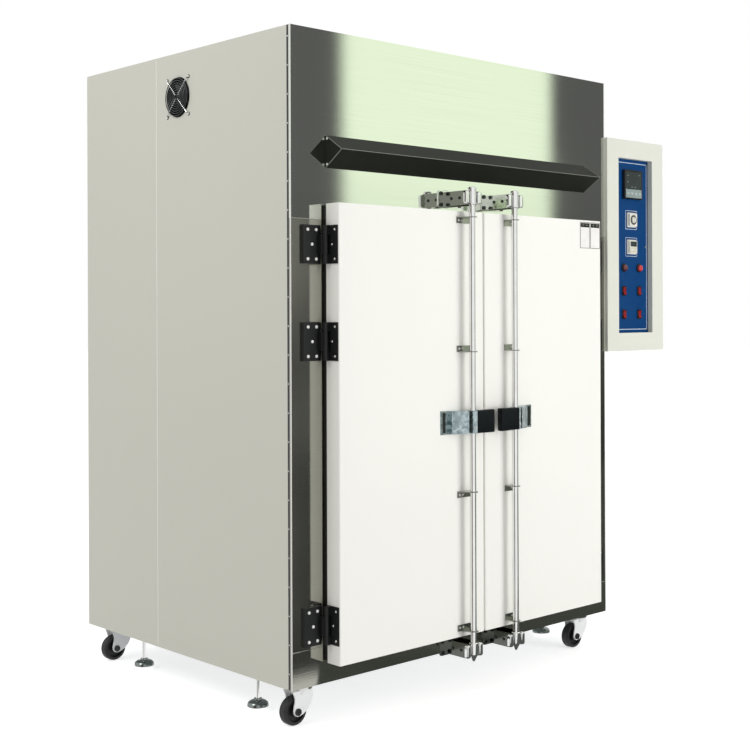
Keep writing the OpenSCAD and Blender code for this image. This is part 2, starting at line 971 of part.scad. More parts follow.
// Half outline of the rod, from its axis outwards
module rod_outline() {
    cam_top = keeper_low_z + keeper_h / 2;
    cam_mid = keeper_low_z - keeper_h / 4;
    collar_low = keeper_top_z - keeper_h / 2;
    dome = collar_r / 2;
    polygon(concat(
        [
            [0, rod_low],
            [cam_tip_r, rod_low],
            [cam_r, cam_mid],
            [cam_r, cam_top],
            [rod_r, cam_top + rod_step],
            [rod_r, collar_low],
            [collar_r, collar_low + rod_step]
        ],
        [for (a = [0 : 15 : 75]) [dome + (collar_r - dome) * cos(a), rod_top - dome + dome * sin(a)]],
        [[dome, rod_top], [0, rod_top]]
    ));
}

// Sleeve that holds the grip on the rod, with a cheek that carries on the slope of the latch cover
module handle_hub(side) {
    color("lightslategray")
        place_doors()
            translate([rod_at(side), rod_y, handle_z - grip_h / 2])
                on_side(side)
                    difference() {
                        union() {
                            cylinder(r = hub_r, h = grip_h);
                            linear_extrude(grip_h)
                                hub_cheek();
                        }
                        translate([0, 0, -cut])
                            cylinder(r = rod_r + pin_clear, h = grip_h + 2 * cut);
                    }
}

// Outline of the cheek seen from above, from the rod's axis to its sloping front
module hub_cheek() {
    near_x = grip_start - pin_clear;
    polygon([
        [-cheek_back, 0],
        [-cheek_back, -grip_front + (cheek_back + near_x) * tan(cover_slope)],
        [near_x, -grip_front],
        [near_x, 0]
    ]);
}

// Grip: a bar with rounded upright edges that reaches from the rod towards the doors' meeting line
module handle_grip(side) {
    tall = max(grip_h, grip_end_h);
    color("black")
        place_doors()
            translate([rod_at(side), 0, handle_z])
                on_side(side)
                    difference() {
                        intersection() {
                            translate([(grip_start + grip_reach) / 2, grip_y + grip_t / 2, -tall / 2])
                                linear_extrude(tall)
                                    rounded_square(grip_reach - grip_start, grip_t, grip_r);
                            flared_front(0, grip_h, grip_reach + cut, grip_end_h);
                        }
                        translate([0, rod_y, -tall / 2 - cut])
                            cylinder(r = hub_r + pin_clear, h = tall + 2 * cut);
                    }
}

// Two blank plates on the right door, near its upper outer corner
module blank_plates() {
    color("white")
        place_doors()
            for (i = [0, 1])
                translate([
                    door_side - plate_inset - plate_w / 2 - i * (plate_w + plate_gap),
                    door_face,
                    door_high - plate_inset - plate_h / 2
                ])
                    upright_plate(plate_w, plate_h, plate_t, plate_r);
}

// Control box: a hollow housing with a window whose edges fold in to the control panel
module control_box() {
    window_low = window_top - window_h;
    color("ivory")
        place()
            difference() {
                translate([half_w + box_w / 2, -box_proud + box_d, box_low + box_h / 2])
                    upright_plate(box_w, box_h, box_d, box_r);
                span([half_w + sheet, panel_y, box_low + sheet],
                     [half_w + box_w - sheet, box_d - box_proud - sheet, box_low + box_h - sheet]);
                difference() {
                    span([half_w + sheet, -box_proud + sheet, box_low + sheet],
                         [half_w + box_w - sheet, panel_y + cut, box_low + box_h - sheet]);
                    span([window_x - window_w / 2 - sheet, -box_proud, window_low - sheet],
                         [window_x + window_w / 2 + sheet, panel_y, window_top + sheet]);
                }
                span([window_x - window_w / 2, -box_proud - cut, window_low],
                     [window_x + window_w / 2, panel_y + cut, window_top]);
            }
}

// Control panel behind the window
module control_panel() {
    half = window_w / 2 + panel_lap;
    color("steelblue")
        place()
            span([window_x - half, panel_y, window_top - window_h - panel_lap],
                 [window_x + half, panel_y + panel_t, window_top + panel_lap]);
}

// Temperature controller: square bezel with its face set in
module temperature_controller() {
    face_s = controller_s - 2 * controller_rim;
    color("dimgray")
        place()
            translate([window_x, panel_y, window_top - controller_drop])
                difference() {
                    upright_plate(controller_s, controller_s, controller_out, control_r);
                    translate([0, -controller_out + controller_face, 0])
                        upright_plate(face_s, face_s, controller_face + cut, control_r);
                }
}

// Two timers: a square body on a thin flange, the upper with a dial
module timers() {
    body_s = timer_s - 2 * timer_inset;
    color("whitesmoke")
        place()
            for (i = [0, 1])
                translate([window_x, panel_y, window_top - timer_drops[i]])
                    union() {
                        upright_plate(timer_s, timer_s, timer_flange, control_r);
                        upright_plate(body_s, body_s, timer_out, control_r);
                        if (i == 0)
                            rotate([90, 0, 0])
                                cylinder(r = dial_r, h = timer_out + dial_out);
                    }
}

// Half outline of a lamp: bezel, and a lens with a rounded edge inside it
module lamp_outline() {
    lens_r = bezel_r - bezel_w;
    bezel_h = lamp_out / 3;
    round_r = lens_r / 3;
    polygon(concat(
        [[0, 0], [bezel_r, 0], [bezel_r, bezel_h], [lens_r, bezel_h + bezel_w / 2]],
        [for (a = [0 : 30 : 90]) [lens_r - round_r * (1 - cos(a)), lamp_out - round_r * (1 - sin(a))]],
        [[0, lamp_out]]
    ));
}

module panel_lamps() {
    color("red")
        place()
            for (side = [-1, 1])
                translate([window_x + side * column_x, panel_y, window_top - lamp_drop])
                    rotate([90, 0, 0])
                        rotate_extrude()
                            lamp_outline();
}

// One rocker switch: rectangular bezel and a key in two slopes, one half pressed in
module rocker_switch() {
    key_w = rocker_w - 2 * rocker_rim;
    key_h = rocker_h - 2 * rocker_rim;
    rise = tan(rocker_tilt) * key_h / 2;
    union() {
        upright_plate(rocker_w, rocker_h, rocker_out, control_r);
        translate([key_w / 2, 0, 0])
            rotate([0, -90, 0])
                linear_extrude(key_w)
                    polygon([
                        [-key_h / 2, 0],
                        [-key_h / 2, -rocker_out - 2 * rise],
                        [0, -rocker_out - rise / 2],
                        [key_h / 2, -rocker_out - rise / 4],
                        [key_h / 2, 0]
                    ]);
    }
}

module rocker_switches() {
    color("firebrick")
        place()
            for (side = [-1, 1])
                for (drop = rocker_drops)
                    translate([window_x + side * column_x, panel_y, window_top - drop])
                        rocker_switch();
}

// Square fan frame behind the side panel, with spokes at its back that hold the motor plate and its post
module fan_frame() {
    color("black")
        place()
            translate([-half_w + sheet, fan_y, fan_z])
                rotate([0, 90, 0])
                    union() {
                        difference() {
                            linear_extrude(fan_d)
                                rounded_square(fan_s, fan_s, fan_corner_r);
                            translate([0, 0, -cut])
                                cylinder(r = fan_r, h = fan_d + 2 * cut);
                        }
                        for (a = [30 : 90 : 300])
                            rotate([0, 0, a])
                                translate([0, -spoke_w / 2, fan_d - spoke_t])
                                    cube([fan_r + cut, spoke_w, spoke_t]);
                        translate([0, 0, fan_d - spoke_t])
                            cylinder(r = fan_hub_r, h = spoke_t);
                        translate([0, 0, fan_d - spoke_t - post_h])
                            cylinder(r = fan_hub_r / 2, h = post_h + cut);
                    }
}

// Fan rotor: hub with pitched blades, its rear face just off the motor's post
module fan_rotor() {
    rear = fan_d - spoke_t - post_h - turn_gap;
    tip_r = fan_r - fan_tip_gap;
    color("black")
        place()
            translate([-half_w + sheet, fan_y, fan_z])
                rotate([0, 90, 0])
                    union() {
                        translate([0, 0, rear - rotor_d + hub_back])
                            cylinder(r = fan_hub_r, h = rotor_d - hub_back);
                        intersection() {
                            for (i = [0 : blades - 1])
                                rotate([0, 0, i * 360 / blades])
                                    translate([0, 0, rear - rotor_d / 2])
                                        rotate([blade_pitch, 0, 0])
                                            translate([fan_hub_r / 2, -chord / 2, -blade_t / 2])
                                                cube([tip_r, chord, blade_t]);
                            translate([0, 0, rear - rotor_d])
                                cylinder(r = tip_r, h = rotor_d);
                        }
                    }
}

// Wire guard in front of the fan: rings on four legs that end in screw eyes on the panel
module fan_guard() {
    eye_r = 4 * wire_r;
    eye_t = wire_r;
    ring_step = (fan_r - 3 * wire_r) / guard_rings;
    leg = guard_pitch / sqrt(2);
    color("silver")
        place()
            translate([-half_w, fan_y, fan_z])
                rotate([0, -90, 0])
                    union() {
                        for (i = [1 : guard_rings])
                            translate([0, 0, guard_out])
                                rotate_extrude()
                                    translate([i * ring_step, 0])
                                        circle(wire_r, $fn = 16);
                        for (a = [45 : 90 : 315])
                            rotate([0, 0, a]) {
                                translate([ring_step, 0, guard_out - wire_r])
                                    rotate([0, 90, 0])
                                        cylinder(r = leg_r, h = leg - eye_r + leg_r - ring_step);
                                translate([leg - eye_r, 0, 0])
                                    cylinder(r = wire_r, h = guard_out - wire_r);
                                difference() {
                                    translate([leg, 0, 0])
                                        cylinder(r = eye_r, h = eye_t);
                                    translate([leg, 0, -cut])
                                        cylinder(r = eye_r / 2, h = eye_t + 2 * cut);
                                }
                            }
                    }
}

// Top plates of the casters, each with the ball race that its fork turns on
module caster_plates() {
    color("silver")
        place()
            for (p = caster_spots)
                translate([p.x, p.y, 0])
                    difference() {
                        union() {
                            translate([0, 0, floor_gap - top_plate_t])
                                linear_extrude(top_plate_t)
                                    rounded_square(top_plate_l, top_plate_w, top_plate_r);
                            translate([0, 0, race_z + race_h / 2])
                                cylinder(r = race_r, h = race_h / 2 + turn_gap);
                        }
                        translate([0, 0, race_z - cut])
                            cylinder(r = kingpin_r + pin_clear, h = floor_gap - kingpin_end + turn_gap - race_z + cut);
                    }
}

// Outline of a fork's cheek: from the crown down to a round end at the axle
module cheek_outline() {
    hull() {
        translate([-trail, axle_z])
            circle(cheek_w / 3);
        translate([-crown_back, crown_z])
            square([crown_back + cheek_w / 2, fork_t]);
    }
}

// Fork: two cheeks, the crown, the lower half of the race and the kingpin, with the axle through the cheeks
module caster_fork(i) {
    outer = wheel_w / 2 + fork_gap + fork_t;
    color("whitesmoke")
        place()
            translate([caster_spots[i].x, caster_spots[i].y, 0])
                union() {
                    for (y = [outer, fork_t - outer])
                        translate([0, y, 0])
                            rotate([90, 0, 0])
                                linear_extrude(fork_t)
                                    cheek_outline();
                    translate([-crown_back, -outer, crown_z])
                        cube([crown_back + cheek_w / 2, 2 * outer, fork_t]);
                    translate([0, 0, crown_z])
                        cylinder(r = race_r - race_step, h = fork_t + race_h / 2);
                    translate([0, 0, crown_z])
                        cylinder(r = kingpin_r, h = floor_gap - kingpin_end - crown_z);
                    translate([-trail, outer + axle_end, axle_z])
                        rotate([90, 0, 0])
                            cylinder(r = axle_r, h = 2 * (outer + axle_end));
                }
}

// Half outline of a wheel: bore, hub, web and a tread with a crowned edge
module wheel_outline() {
    bore = axle_r + pin_clear;
    half = wheel_w / 2;
    hub_half = half + fork_gap - turn_gap;
    tread_in = wheel_r - tread_t;
    polygon([
        [bore, -hub_half],
        [wheel_hub_r, -hub_half],
        [wheel_hub_r, -web_half],
        [tread_in, -web_half],
        [tread_in, -half],
        [wheel_r - crown_d, -half],
        [wheel_r, -half + crown_w],
        [wheel_r, half - crown_w],
        [wheel_r - crown_d, half],
        [tread_in, half],
        [tread_in, web_half],
        [wheel_hub_r, web_half],
        [wheel_hub_r, hub_half],
        [bore, hub_half]
    ]);
}

module caster_wheel(i) {
    color("black")
        place()
            translate([caster_spots[i].x - trail, caster_spots[i].y, axle_z])
                rotate([90, 0, 0])
                    rotate_extrude()
                        wheel_outline();
}

// Levelling foot: a domed base and a spindle that runs up through its nut
module levelling_foot(i) {
    color("silver")
        place()
            translate([foot_spots[i].x, foot_spots[i].y, foot_clear])
                union() {
                    rotate_extrude()
                        foot_outline();
                    cylinder(r = spindle_r, h = floor_gap - foot_clear + sheet + nut_h + spindle_spare);
                }
}

// Half outline of a foot's base: flat rim, dome and neck
module foot_outline() {
    dome = foot_h - foot_rim - foot_neck_h;
    reach = foot_r - foot_neck_r;
    polygon(concat(
        [[0, 0], [foot_r, 0], [foot_r, foot_rim]],
        [for (a = [15 : 15 : 75]) [foot_neck_r + reach * cos(a), foot_rim + dome * sin(a)]],
        [[foot_neck_r, foot_rim + dome], [foot_neck_r, foot_h], [0, foot_h]]
    ));
}

left_front_side_panel();
left_rear_side_panel();
right_front_side_panel();
right_rear_side_panel();
rear_panel();
top_panel();
bottom_panel();
header_panel();
left_stile();
right_stile();
sill_panel();
chamber_left_wall();
chamber_right_wall();
chamber_ceiling();
chamber_floor();
chamber_back();
heat_deflector();
rod_keepers();
frame_hinges();
fan_frame();
fan_guard();
fan_rotor();
control_box();
control_panel();
temperature_controller();
timers();
panel_lamps();
rocker_switches();
door_pan(-1);  // left_door_pan
door_liner(-1);  // left_door_liner
door_seal(-1);  // left_door_seal
door_hinges(-1);  // left_door_hinges
rod_guides(-1);  // left_rod_guides
latch_cover(-1);  // left_latch_cover
door_pan(1);  // right_door_pan
door_liner(1);  // right_door_liner
door_seal(1);  // right_door_seal
door_hinges(1);  // right_door_hinges
rod_guides(1);  // right_rod_guides
latch_cover(1);  // right_latch_cover
blank_plates();
lock_rod(-1);  // left_lock_rod
handle_hub(-1);  // left_handle_hub
handle_grip(-1);  // left_handle_grip
lock_rod(1);  // right_lock_rod
handle_hub(1);  // right_handle_hub
handle_grip(1);  // right_handle_grip
caster_plates();
caster_fork(0);  // front_left_caster_fork
caster_fork(1);  // front_right_caster_fork
caster_fork(2);  // rear_left_caster_fork
caster_fork(3);  // rear_right_caster_fork
caster_wheel(0);  // front_left_caster_wheel
caster_wheel(1);  // front_right_caster_wheel
caster_wheel(2);  // rear_left_caster_wheel
caster_wheel(3);  // rear_right_caster_wheel
levelling_foot(0);  // front_left_foot
levelling_foot(1);  // front_right_foot
levelling_foot(2);  // rear_left_foot
levelling_foot(3);  // rear_right_foot
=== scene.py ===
# %% [markdown]
# # A drying oven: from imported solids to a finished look
#
# The oven is a painted steel cabinet with a bright stainless front, two white doors that are locked by
# chromed rods, and a control box on its right side. The solids come from the CAD part and never move.
# This script gives each of them a finish, and adds the screws, lenses and keys that the solids leave out.

# %% Load the part
import math

import bmesh
import bpy
import numpy as np
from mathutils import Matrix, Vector


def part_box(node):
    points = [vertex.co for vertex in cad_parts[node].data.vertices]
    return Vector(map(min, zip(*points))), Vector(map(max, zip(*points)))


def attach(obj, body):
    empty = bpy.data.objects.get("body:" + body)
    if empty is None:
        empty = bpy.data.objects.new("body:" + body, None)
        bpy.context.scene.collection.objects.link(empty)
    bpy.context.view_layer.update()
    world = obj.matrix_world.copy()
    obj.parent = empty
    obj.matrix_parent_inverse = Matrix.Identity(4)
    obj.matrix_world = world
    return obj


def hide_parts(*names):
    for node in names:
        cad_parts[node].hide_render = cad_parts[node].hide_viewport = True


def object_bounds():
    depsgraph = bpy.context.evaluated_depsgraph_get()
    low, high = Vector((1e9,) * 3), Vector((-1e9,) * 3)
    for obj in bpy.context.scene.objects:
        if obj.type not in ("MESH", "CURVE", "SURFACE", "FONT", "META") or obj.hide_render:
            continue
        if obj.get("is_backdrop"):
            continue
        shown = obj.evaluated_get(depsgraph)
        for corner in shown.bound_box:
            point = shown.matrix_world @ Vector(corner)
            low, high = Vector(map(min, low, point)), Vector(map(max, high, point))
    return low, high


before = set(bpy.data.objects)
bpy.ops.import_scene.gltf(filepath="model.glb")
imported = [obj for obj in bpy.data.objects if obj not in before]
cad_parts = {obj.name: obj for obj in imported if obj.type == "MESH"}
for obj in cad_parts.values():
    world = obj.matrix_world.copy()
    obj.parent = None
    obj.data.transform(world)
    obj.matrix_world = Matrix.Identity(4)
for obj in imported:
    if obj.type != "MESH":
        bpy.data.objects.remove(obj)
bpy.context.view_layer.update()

# %% [markdown]
# ## One set of numbers
#
# The body's own frame is in millimetres: X from the middle of the body, Y backwards from its front face and
# Z up from the floor. Every size below is in it, and the header panel tells where that frame lies.

# %% The body's frame
MM = 0.001
head_low, head_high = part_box("header_panel")
HOME = np.array([(head_low.x + head_high.x) / 2, head_low.y, 0.0])
door_low, door_high = (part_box("right_door_pan")[i].z / MM for i in (0, 1))
PAIR_X = 6
DOOR_FACE = -60
DOOR_SIDE = 545
ROD_Y = -88
RODS = {"left": -68, "right": 111}
OUTWARD = {"left": -1, "right": 1}
handle_z = (door_low + door_high) / 2 + 6.5
top_z = head_high.z / MM
print("doors from", round(door_low, 1), "to", round(door_high, 1), "handles at", round(handle_z, 1))

# %% [markdown]
# ## Camera
#
# The photograph was taken from the left, a little above the middle of the doors, with a level camera. A fit to
# the corners of the body gives the place, the turn and the lens. The horizon lies above the middle of the
# picture, which a small downward shift gives without tilting the camera, so upright edges stay upright.

# %% Camera
camera_data = bpy.data.cameras.new("camera")
camera_data.lens = 62.3
camera_data.sensor_width = 36
camera_data.shift_y = -0.0823
camera = bpy.data.objects.new("camera", camera_data)
camera.location = HOME + np.array([-2733, -2572, 1070]) * MM
camera.rotation_euler = (math.radians(90), math.radians(0.2), math.radians(-42.72))
bpy.context.scene.collection.objects.link(camera)
bpy.context.scene.camera = camera
bpy.context.scene.view_settings.view_transform = "Standard"
print("camera", [round(v, 3) for v in camera.location], "lens", camera_data.lens)

# %% [markdown]
# ## Surfaces from arrays
#
# Each new piece is a grid of points worked out by a formula in numpy. Three forms are enough here: a turned
# profile for screws, lamps and nuts, a pad whose outline steps in and out for plates and keys, and a rim for
# thin frames. A piece is drawn once, facing outwards, then turned to its side and repeated.

# %% Grids, turned profiles and pads
def net(grid, ring=False):
    """Points and four-sided faces of a grid of rows and columns; columns always close, rows close for a ring."""
    rows, columns = grid.shape[:2]
    index = np.arange(rows * columns).reshape(rows, columns)
    index = np.hstack([index, index[:, :1]])
    if ring:
        index = np.vstack([index, index[:1]])
    faces = np.stack([index[:-1, :-1], index[:-1, 1:], index[1:, 1:], index[1:, :-1]], -1)
    return grid.reshape(-1, 3), faces.reshape(-1, 4)


def turned(profile, steps=16):
    """A profile of radius r and height h turned round its axis: (r cos a, r sin a, h)."""
    r, h = np.array(profile, float).T
    a = np.arange(steps) * 2 * np.pi / steps
    grid = np.stack([np.outer(r, np.cos(a)), np.outer(r, np.sin(a)), np.outer(h, np.ones(steps))], -1)
    return net(grid)


def outline(w, h, r, corner=4):
    """Points round a rectangle w by h: each corner's centre plus r (cos a, sin a) over a quarter turn."""
    a = np.linspace(0, np.pi / 2, corner + 1) + np.arange(4)[:, None] * np.pi / 2
    centres = np.array([[1, 1], [-1, 1], [-1, -1], [1, -1]]) * [w / 2 - r, h / 2 - r]
    return (centres[:, None] + r * np.stack([np.cos(a), np.sin(a)], -1)).reshape(-1, 2)


def layers_of(w, h, r, layers, corner):
    """One outline for each layer (inset, height), the corner radius shrinking with the inset."""
    rings = [np.pad(outline(w - 2 * i, h - 2 * i, max(r - i, 0.05), corner), ((0, 0), (0, 1)), constant_values=z)
             for i, z in layers]
    return np.stack(rings)


def pad(w, h, r, layers, corner=4):
    """A plate built up by layers, closed below and above by fans to its middle."""
    grid = layers_of(w, h, r, layers, corner)
    ends = grid[[0, -1]] * [0, 0, 1]
    return net(np.concatenate([ends[:1], grid, ends[1:]]))


def rim(w, h, r, layers, corner=4):
    """A frame: the layers run outside, over and back inside, and join into a ring."""
    return net(layers_of(w, h, r, layers, corner), ring=True)


def bar(a, b, r, steps=8):
    """A round bar from a to b: at both ends a ring p + r (u cos t + v sin t), closed to the axis."""
    a, b = np.array(a, float), np.array(b, float)
    along = (b - a) / np.linalg.norm(b - a)
    u = np.cross(along, [0.36, 0.48, 0.8])
    u /= np.linalg.norm(u)
    t = np.arange(steps)[:, None] * 2 * np.pi / steps
    ring = r * (np.cos(t) * u + np.sin(t) * np.cross(along, u))
    return net(np.stack([a + 0 * ring, a + ring, b + ring, b + 0 * ring]))


def slab(t, edge=0.4):
    """Layers of a plate of thickness t with its front edge eased; the last ring keeps the face's shading flat."""
    return [(0, 0), (0, t - edge), (0.3 * edge, t - 0.3 * edge), (edge, t), (1.4 * edge, t)]


# %% Turning to a side, repeating and joining
SIDES = {
    "front": [[1, 0, 0], [0, 0, 1], [0, -1, 0]],
    "left": [[0, 1, 0], [0, 0, 1], [-1, 0, 0]],
    "right": [[0, 1, 0], [0, 0, 1], [1, 0, 0]],
    "up": [[1, 0, 0], [0, 1, 0], [0, 0, 1]],
    "down": [[1, 0, 0], [0, 1, 0], [0, 0, -1]],
    "back": [[1, 0, 0], [0, 0, 1], [0, 1, 0]],
}
SLOPE = math.radians(24)
for side, s in (("left", -1), ("right", 1)):
    SIDES["slope_" + side] = [[math.cos(SLOPE), s * math.sin(SLOPE), 0], [0, 0, 1], [s * math.sin(SLOPE), -math.cos(SLOPE), 0]]


def stand(shape, side, places):
    """Turns a shape's across, up and out axes to the side that it faces, and repeats it at each place."""
    points, faces = shape
    places = np.array(places, float).reshape(-1, 3)
    many = places[:, None] + points @ np.array(SIDES[side], float)
    steps = np.arange(len(places)) * len(points)
    return many.reshape(-1, 3), (faces + steps[:, None, None]).reshape(-1, 4)


made_pieces = {}


def piece(name, shapes, finish, body, sharp=35):
    """Joins shapes, given in the body's millimetres, into one object with outward normals, riding on a body."""
    starts = np.cumsum([0] + [len(points) for points, faces in shapes[:-1]])
    points = np.concatenate([points for points, faces in shapes]) * MM + HOME
    faces = np.concatenate([faces + start for (_, faces), start in zip(shapes, starts)])
    mesh = bpy.data.meshes.new(name)
    mesh.from_pydata(points.tolist(), [], faces.tolist())
    work = bmesh.new()
    work.from_mesh(mesh)
    bmesh.ops.remove_doubles(work, verts=work.verts, dist=2e-6)
    bmesh.ops.recalc_face_normals(work, faces=work.faces)
    work.to_mesh(mesh)
    work.free()
    mesh.shade_smooth()
    mesh.set_sharp_from_angle(angle=math.radians(sharp))
    mesh.materials.append(finish)
    made = bpy.data.objects.new(name, mesh)
    bpy.context.scene.collection.objects.link(made)
    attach(made, body)
    made_pieces[name] = len(mesh.polygons)
    return made


# %% [markdown]
# ## Finishes
#
# Each finish is a small net of nodes on Object coordinates, so a pattern keeps its real scale in metres and
# moves with its piece. Paint gets the fine orange peel of powder coat, steel gets drawn-out scratches that
# spread a reflection across the grain, and moulded plastic gets a fine texture.

# %% Helpers for nodes
def srgb(r, g, b):
    """A colour read off as 0 to 255, as the linear value that a shader wants."""
    c = np.array([r, g, b]) / 255
    c = np.where(c <= 0.04045, c / 12.92, ((c + 0.055) / 1.055) ** 2.4)
    return (*[float(v) for v in c], 1.0)


def add(tree, kind, sockets=(), **settings):
    """A shader node with its settings, and each named socket either linked or set."""
    node = tree.nodes.new("ShaderNode" + kind)
    for key, value in settings.items():
        setattr(node, key, value)
    for name, value in dict(sockets).items():
        if isinstance(value, bpy.types.NodeSocket):
            tree.links.new(value, node.inputs[name])
        else:
            node.inputs[name].default_value = value
    return node


def noise(tree, scale, stretch=(1, 1, 1), detail=3.0):
    """Noise over Object coordinates, with stretch squeezing it along each axis."""
    place = add(tree, "TexCoord").outputs["Object"]
    place = add(tree, "Mapping", {"Vector": place, "Scale": stretch}).outputs["Vector"]
    return add(tree, "TexNoise", {"Vector": place, "Scale": scale, "Detail": detail}).outputs["Fac"]


def spread(tree, value, low, high):
    """Carries the middle range of a noise to low at 0.3 and high at 0.7."""
    sockets = {"Value": value, "From Min": 0.3, "From Max": 0.7, "To Min": low, "To Max": high}
    return add(tree, "MapRange", sockets).outputs["Result"]


def ramp(tree, value, stops):
    """Colours at places from 0 to 1."""
    node = add(tree, "ValToRGB", {"Fac": value})
    while len(node.color_ramp.elements) < len(stops):
        node.color_ramp.elements.new(1.0)
    for element, (place, colour) in zip(node.color_ramp.elements, stops):
        element.position = place
        element.color = colour
    return node.outputs["Color"]


def shade(colour, factor):
    """A colour made darker or lighter, its alpha kept."""
    return (*[min(1.0, c * factor) for c in colour[:3]], 1.0)


def start(name, shine=0.5, **sockets):
    """A new material, its node tree and its shader, with the sockets that are the same all over."""
    made = bpy.data.materials.new(name)
    made.use_nodes = True
    shader = made.node_tree.nodes["Principled BSDF"]
    shader.inputs["Specular IOR Level"].default_value = shine
    for key, value in sockets.items():
        shader.inputs[key.replace("_", " ").title()].default_value = value
    return made, made.node_tree, shader


def finish_with(tree, shader, colour, rough, height=None, strength=0.1, distance=0.0005):
    """Links a shader's colour, roughness and bump."""
    tree.links.new(colour, shader.inputs["Base Color"])
    tree.links.new(rough, shader.inputs["Roughness"])
    if height is not None:
        bump = add(tree, "Bump", {"Height": height, "Strength": strength, "Distance": distance})
        tree.links.new(bump.outputs["Normal"], shader.inputs["Normal"])


# %% Powder coat and enamel
def paint(name, colour, rough, peel=0.12, spots=0.02, coat=0.0, shine=0.5):
    """Painted sheet: clouds of tone, orange peel 2-3 mm wide and a faint change of gloss."""
    made, tree, shader = start(name, shine, coat_weight=coat, coat_roughness=0.04)
    clouds = noise(tree, 0.8, detail=0.0)
    tone = ramp(tree, clouds, [(0.3, shade(colour, 1 - spots)), (0.7, shade(colour, 1 + spots))])
    gloss = spread(tree, noise(tree, 1.5, detail=0.0), rough - 0.01, rough + 0.02)
    finish_with(tree, shader, tone, gloss, noise(tree, 420.0, detail=1.0), peel, 0.0004)
    return made


body_paint = paint("body_grey_paint", srgb(204, 204, 192), 0.42)
door_paint = paint("door_white_paint", srgb(247, 246, 240), 0.30, peel=0.05, spots=0.008, coat=0.3)
cream_paint = paint("control_box_cream_paint", srgb(221, 222, 211), 0.36, peel=0.08)
black_paint = paint("deflector_black_paint", srgb(36, 38, 33), 0.45, peel=0.10, spots=0.12, shine=0.08)
edge_highlight_paint = paint("painted_highlight_edge", srgb(138, 140, 130), 0.4, spots=0.2)
hinge_black = paint("hinge_black_coat", srgb(26, 27, 28), 0.38, peel=0.25, spots=0.15, shine=0.3)
seam_highlight_paint = paint("seam_painted_highlight", srgb(246, 246, 240), 0.36)
screw_paint = paint("nickel_white_head", srgb(238, 238, 234), 0.25, peel=0.02, coat=0.5)
fork_paint = paint("caster_fork_white_coat", srgb(246, 247, 247), 0.28, peel=0.05, coat=0.4)
print("paints made")


# %% [markdown]
# The front sheet is near-mirror stainless with a horizontal grain. On the real sheet a lamp reflects as an
# upright bar with crisp sides, because the scratches tip the surface up and down but hardly left and right.
# So the bump is noise squeezed hard along Z and drawn out along X, over a low roughness.

# %% Stainless, zinc and chrome
def steel(name, colour, rough, grain=0.35, along=(2.0, 2.0, 900.0), smudge=0.06):
    """Brushed metal: scratches drawn out along the grain, smudges in the gloss and a faint change of tone."""
    made, tree, shader = start(name, metallic=1.0)
    streaks = noise(tree, 1.0, stretch=along, detail=5.0)
    clouds = noise(tree, 1.2, stretch=(1.0, 1.0, 2.0), detail=0.5)
    tone = ramp(tree, streaks, [(0.3, shade(colour, 0.95)), (0.7, shade(colour, 1.03))])
    gloss = spread(tree, clouds, rough - smudge / 2, rough + smudge)
    finish_with(tree, shader, tone, gloss, streaks, grain, 0.00006)
    return made


def bright(name, colour, rough, wave=0.02):
    """Plated metal: almost a mirror, with soft waves and a trace of dulling."""
    made, tree, shader = start(name, metallic=1.0)
    clouds = noise(tree, 30.0, detail=4.0)
    tone = ramp(tree, clouds, [(0.3, shade(colour, 0.94)), (0.7, colour)])
    finish_with(tree, shader, tone, spread(tree, clouds, rough, rough + 0.06), noise(tree, 60.0), wave, 0.0005)
    return made


def reflection_banded_plate(name, dark, stops, height):
    """Dark plated strap below a height; above it the colour is bands of painted reflection along X; stops are (X in
    metres, colour).
    """
    made, tree, shader = start(name, metallic=1.0)
    split = add(tree, "SeparateXYZ", {"Vector": add(tree, "TexCoord").outputs["Object"]})
    low, high = stops[0][0], stops[-1][0]
    along = add(tree, "MapRange", {"Value": split.outputs["X"], "From Min": low, "From Max": high}).outputs["Result"]
    bands = ramp(tree, along, [((x - low) / (high - low), colour) for x, colour in stops])
    above = add(tree, "MapRange", {"Value": split.outputs["Z"], "From Min": height, "From Max": height + 0.01})
    tone = add(tree, "MixRGB", {"Fac": above.outputs["Result"], "Color1": dark, "Color2": bands}).outputs["Color"]
    finish_with(tree, shader, tone, spread(tree, noise(tree, 30.0), 0.10, 0.2), noise(tree, 60.0), 0.12, 0.0004)
    return made


def spangled(name, light, dark, rough):
    """Hot-dip zinc: crystals 6-12 mm across, each with its own tone and gloss, over fine mottling."""
    made, tree, shader = start(name, metallic=1.0)
    place = add(tree, "TexCoord").outputs["Object"]
    wobble = add(tree, "TexNoise", {"Vector": place, "Scale": 120.0, "Detail": 2.0}).outputs["Color"]
    bent = add(tree, "VectorMath", {0: wobble, 1: (0.012,) * 3, 2: place}, operation="MULTIPLY_ADD")
    cells = add(tree, "TexVoronoi", {"Vector": bent.outputs["Vector"], "Scale": 110.0}).outputs["Color"]
    grey = add(tree, "RGBToBW", {"Color": cells}).outputs["Val"]
    tone = ramp(tree, grey, [(0.1, dark), (0.9, light)])
    gloss = add(tree, "MapRange", {"Value": grey, "To Min": rough + 0.12, "To Max": rough}).outputs["Result"]
    finish_with(tree, shader, tone, gloss, noise(tree, 260.0), 0.12, 0.0003)
    return made


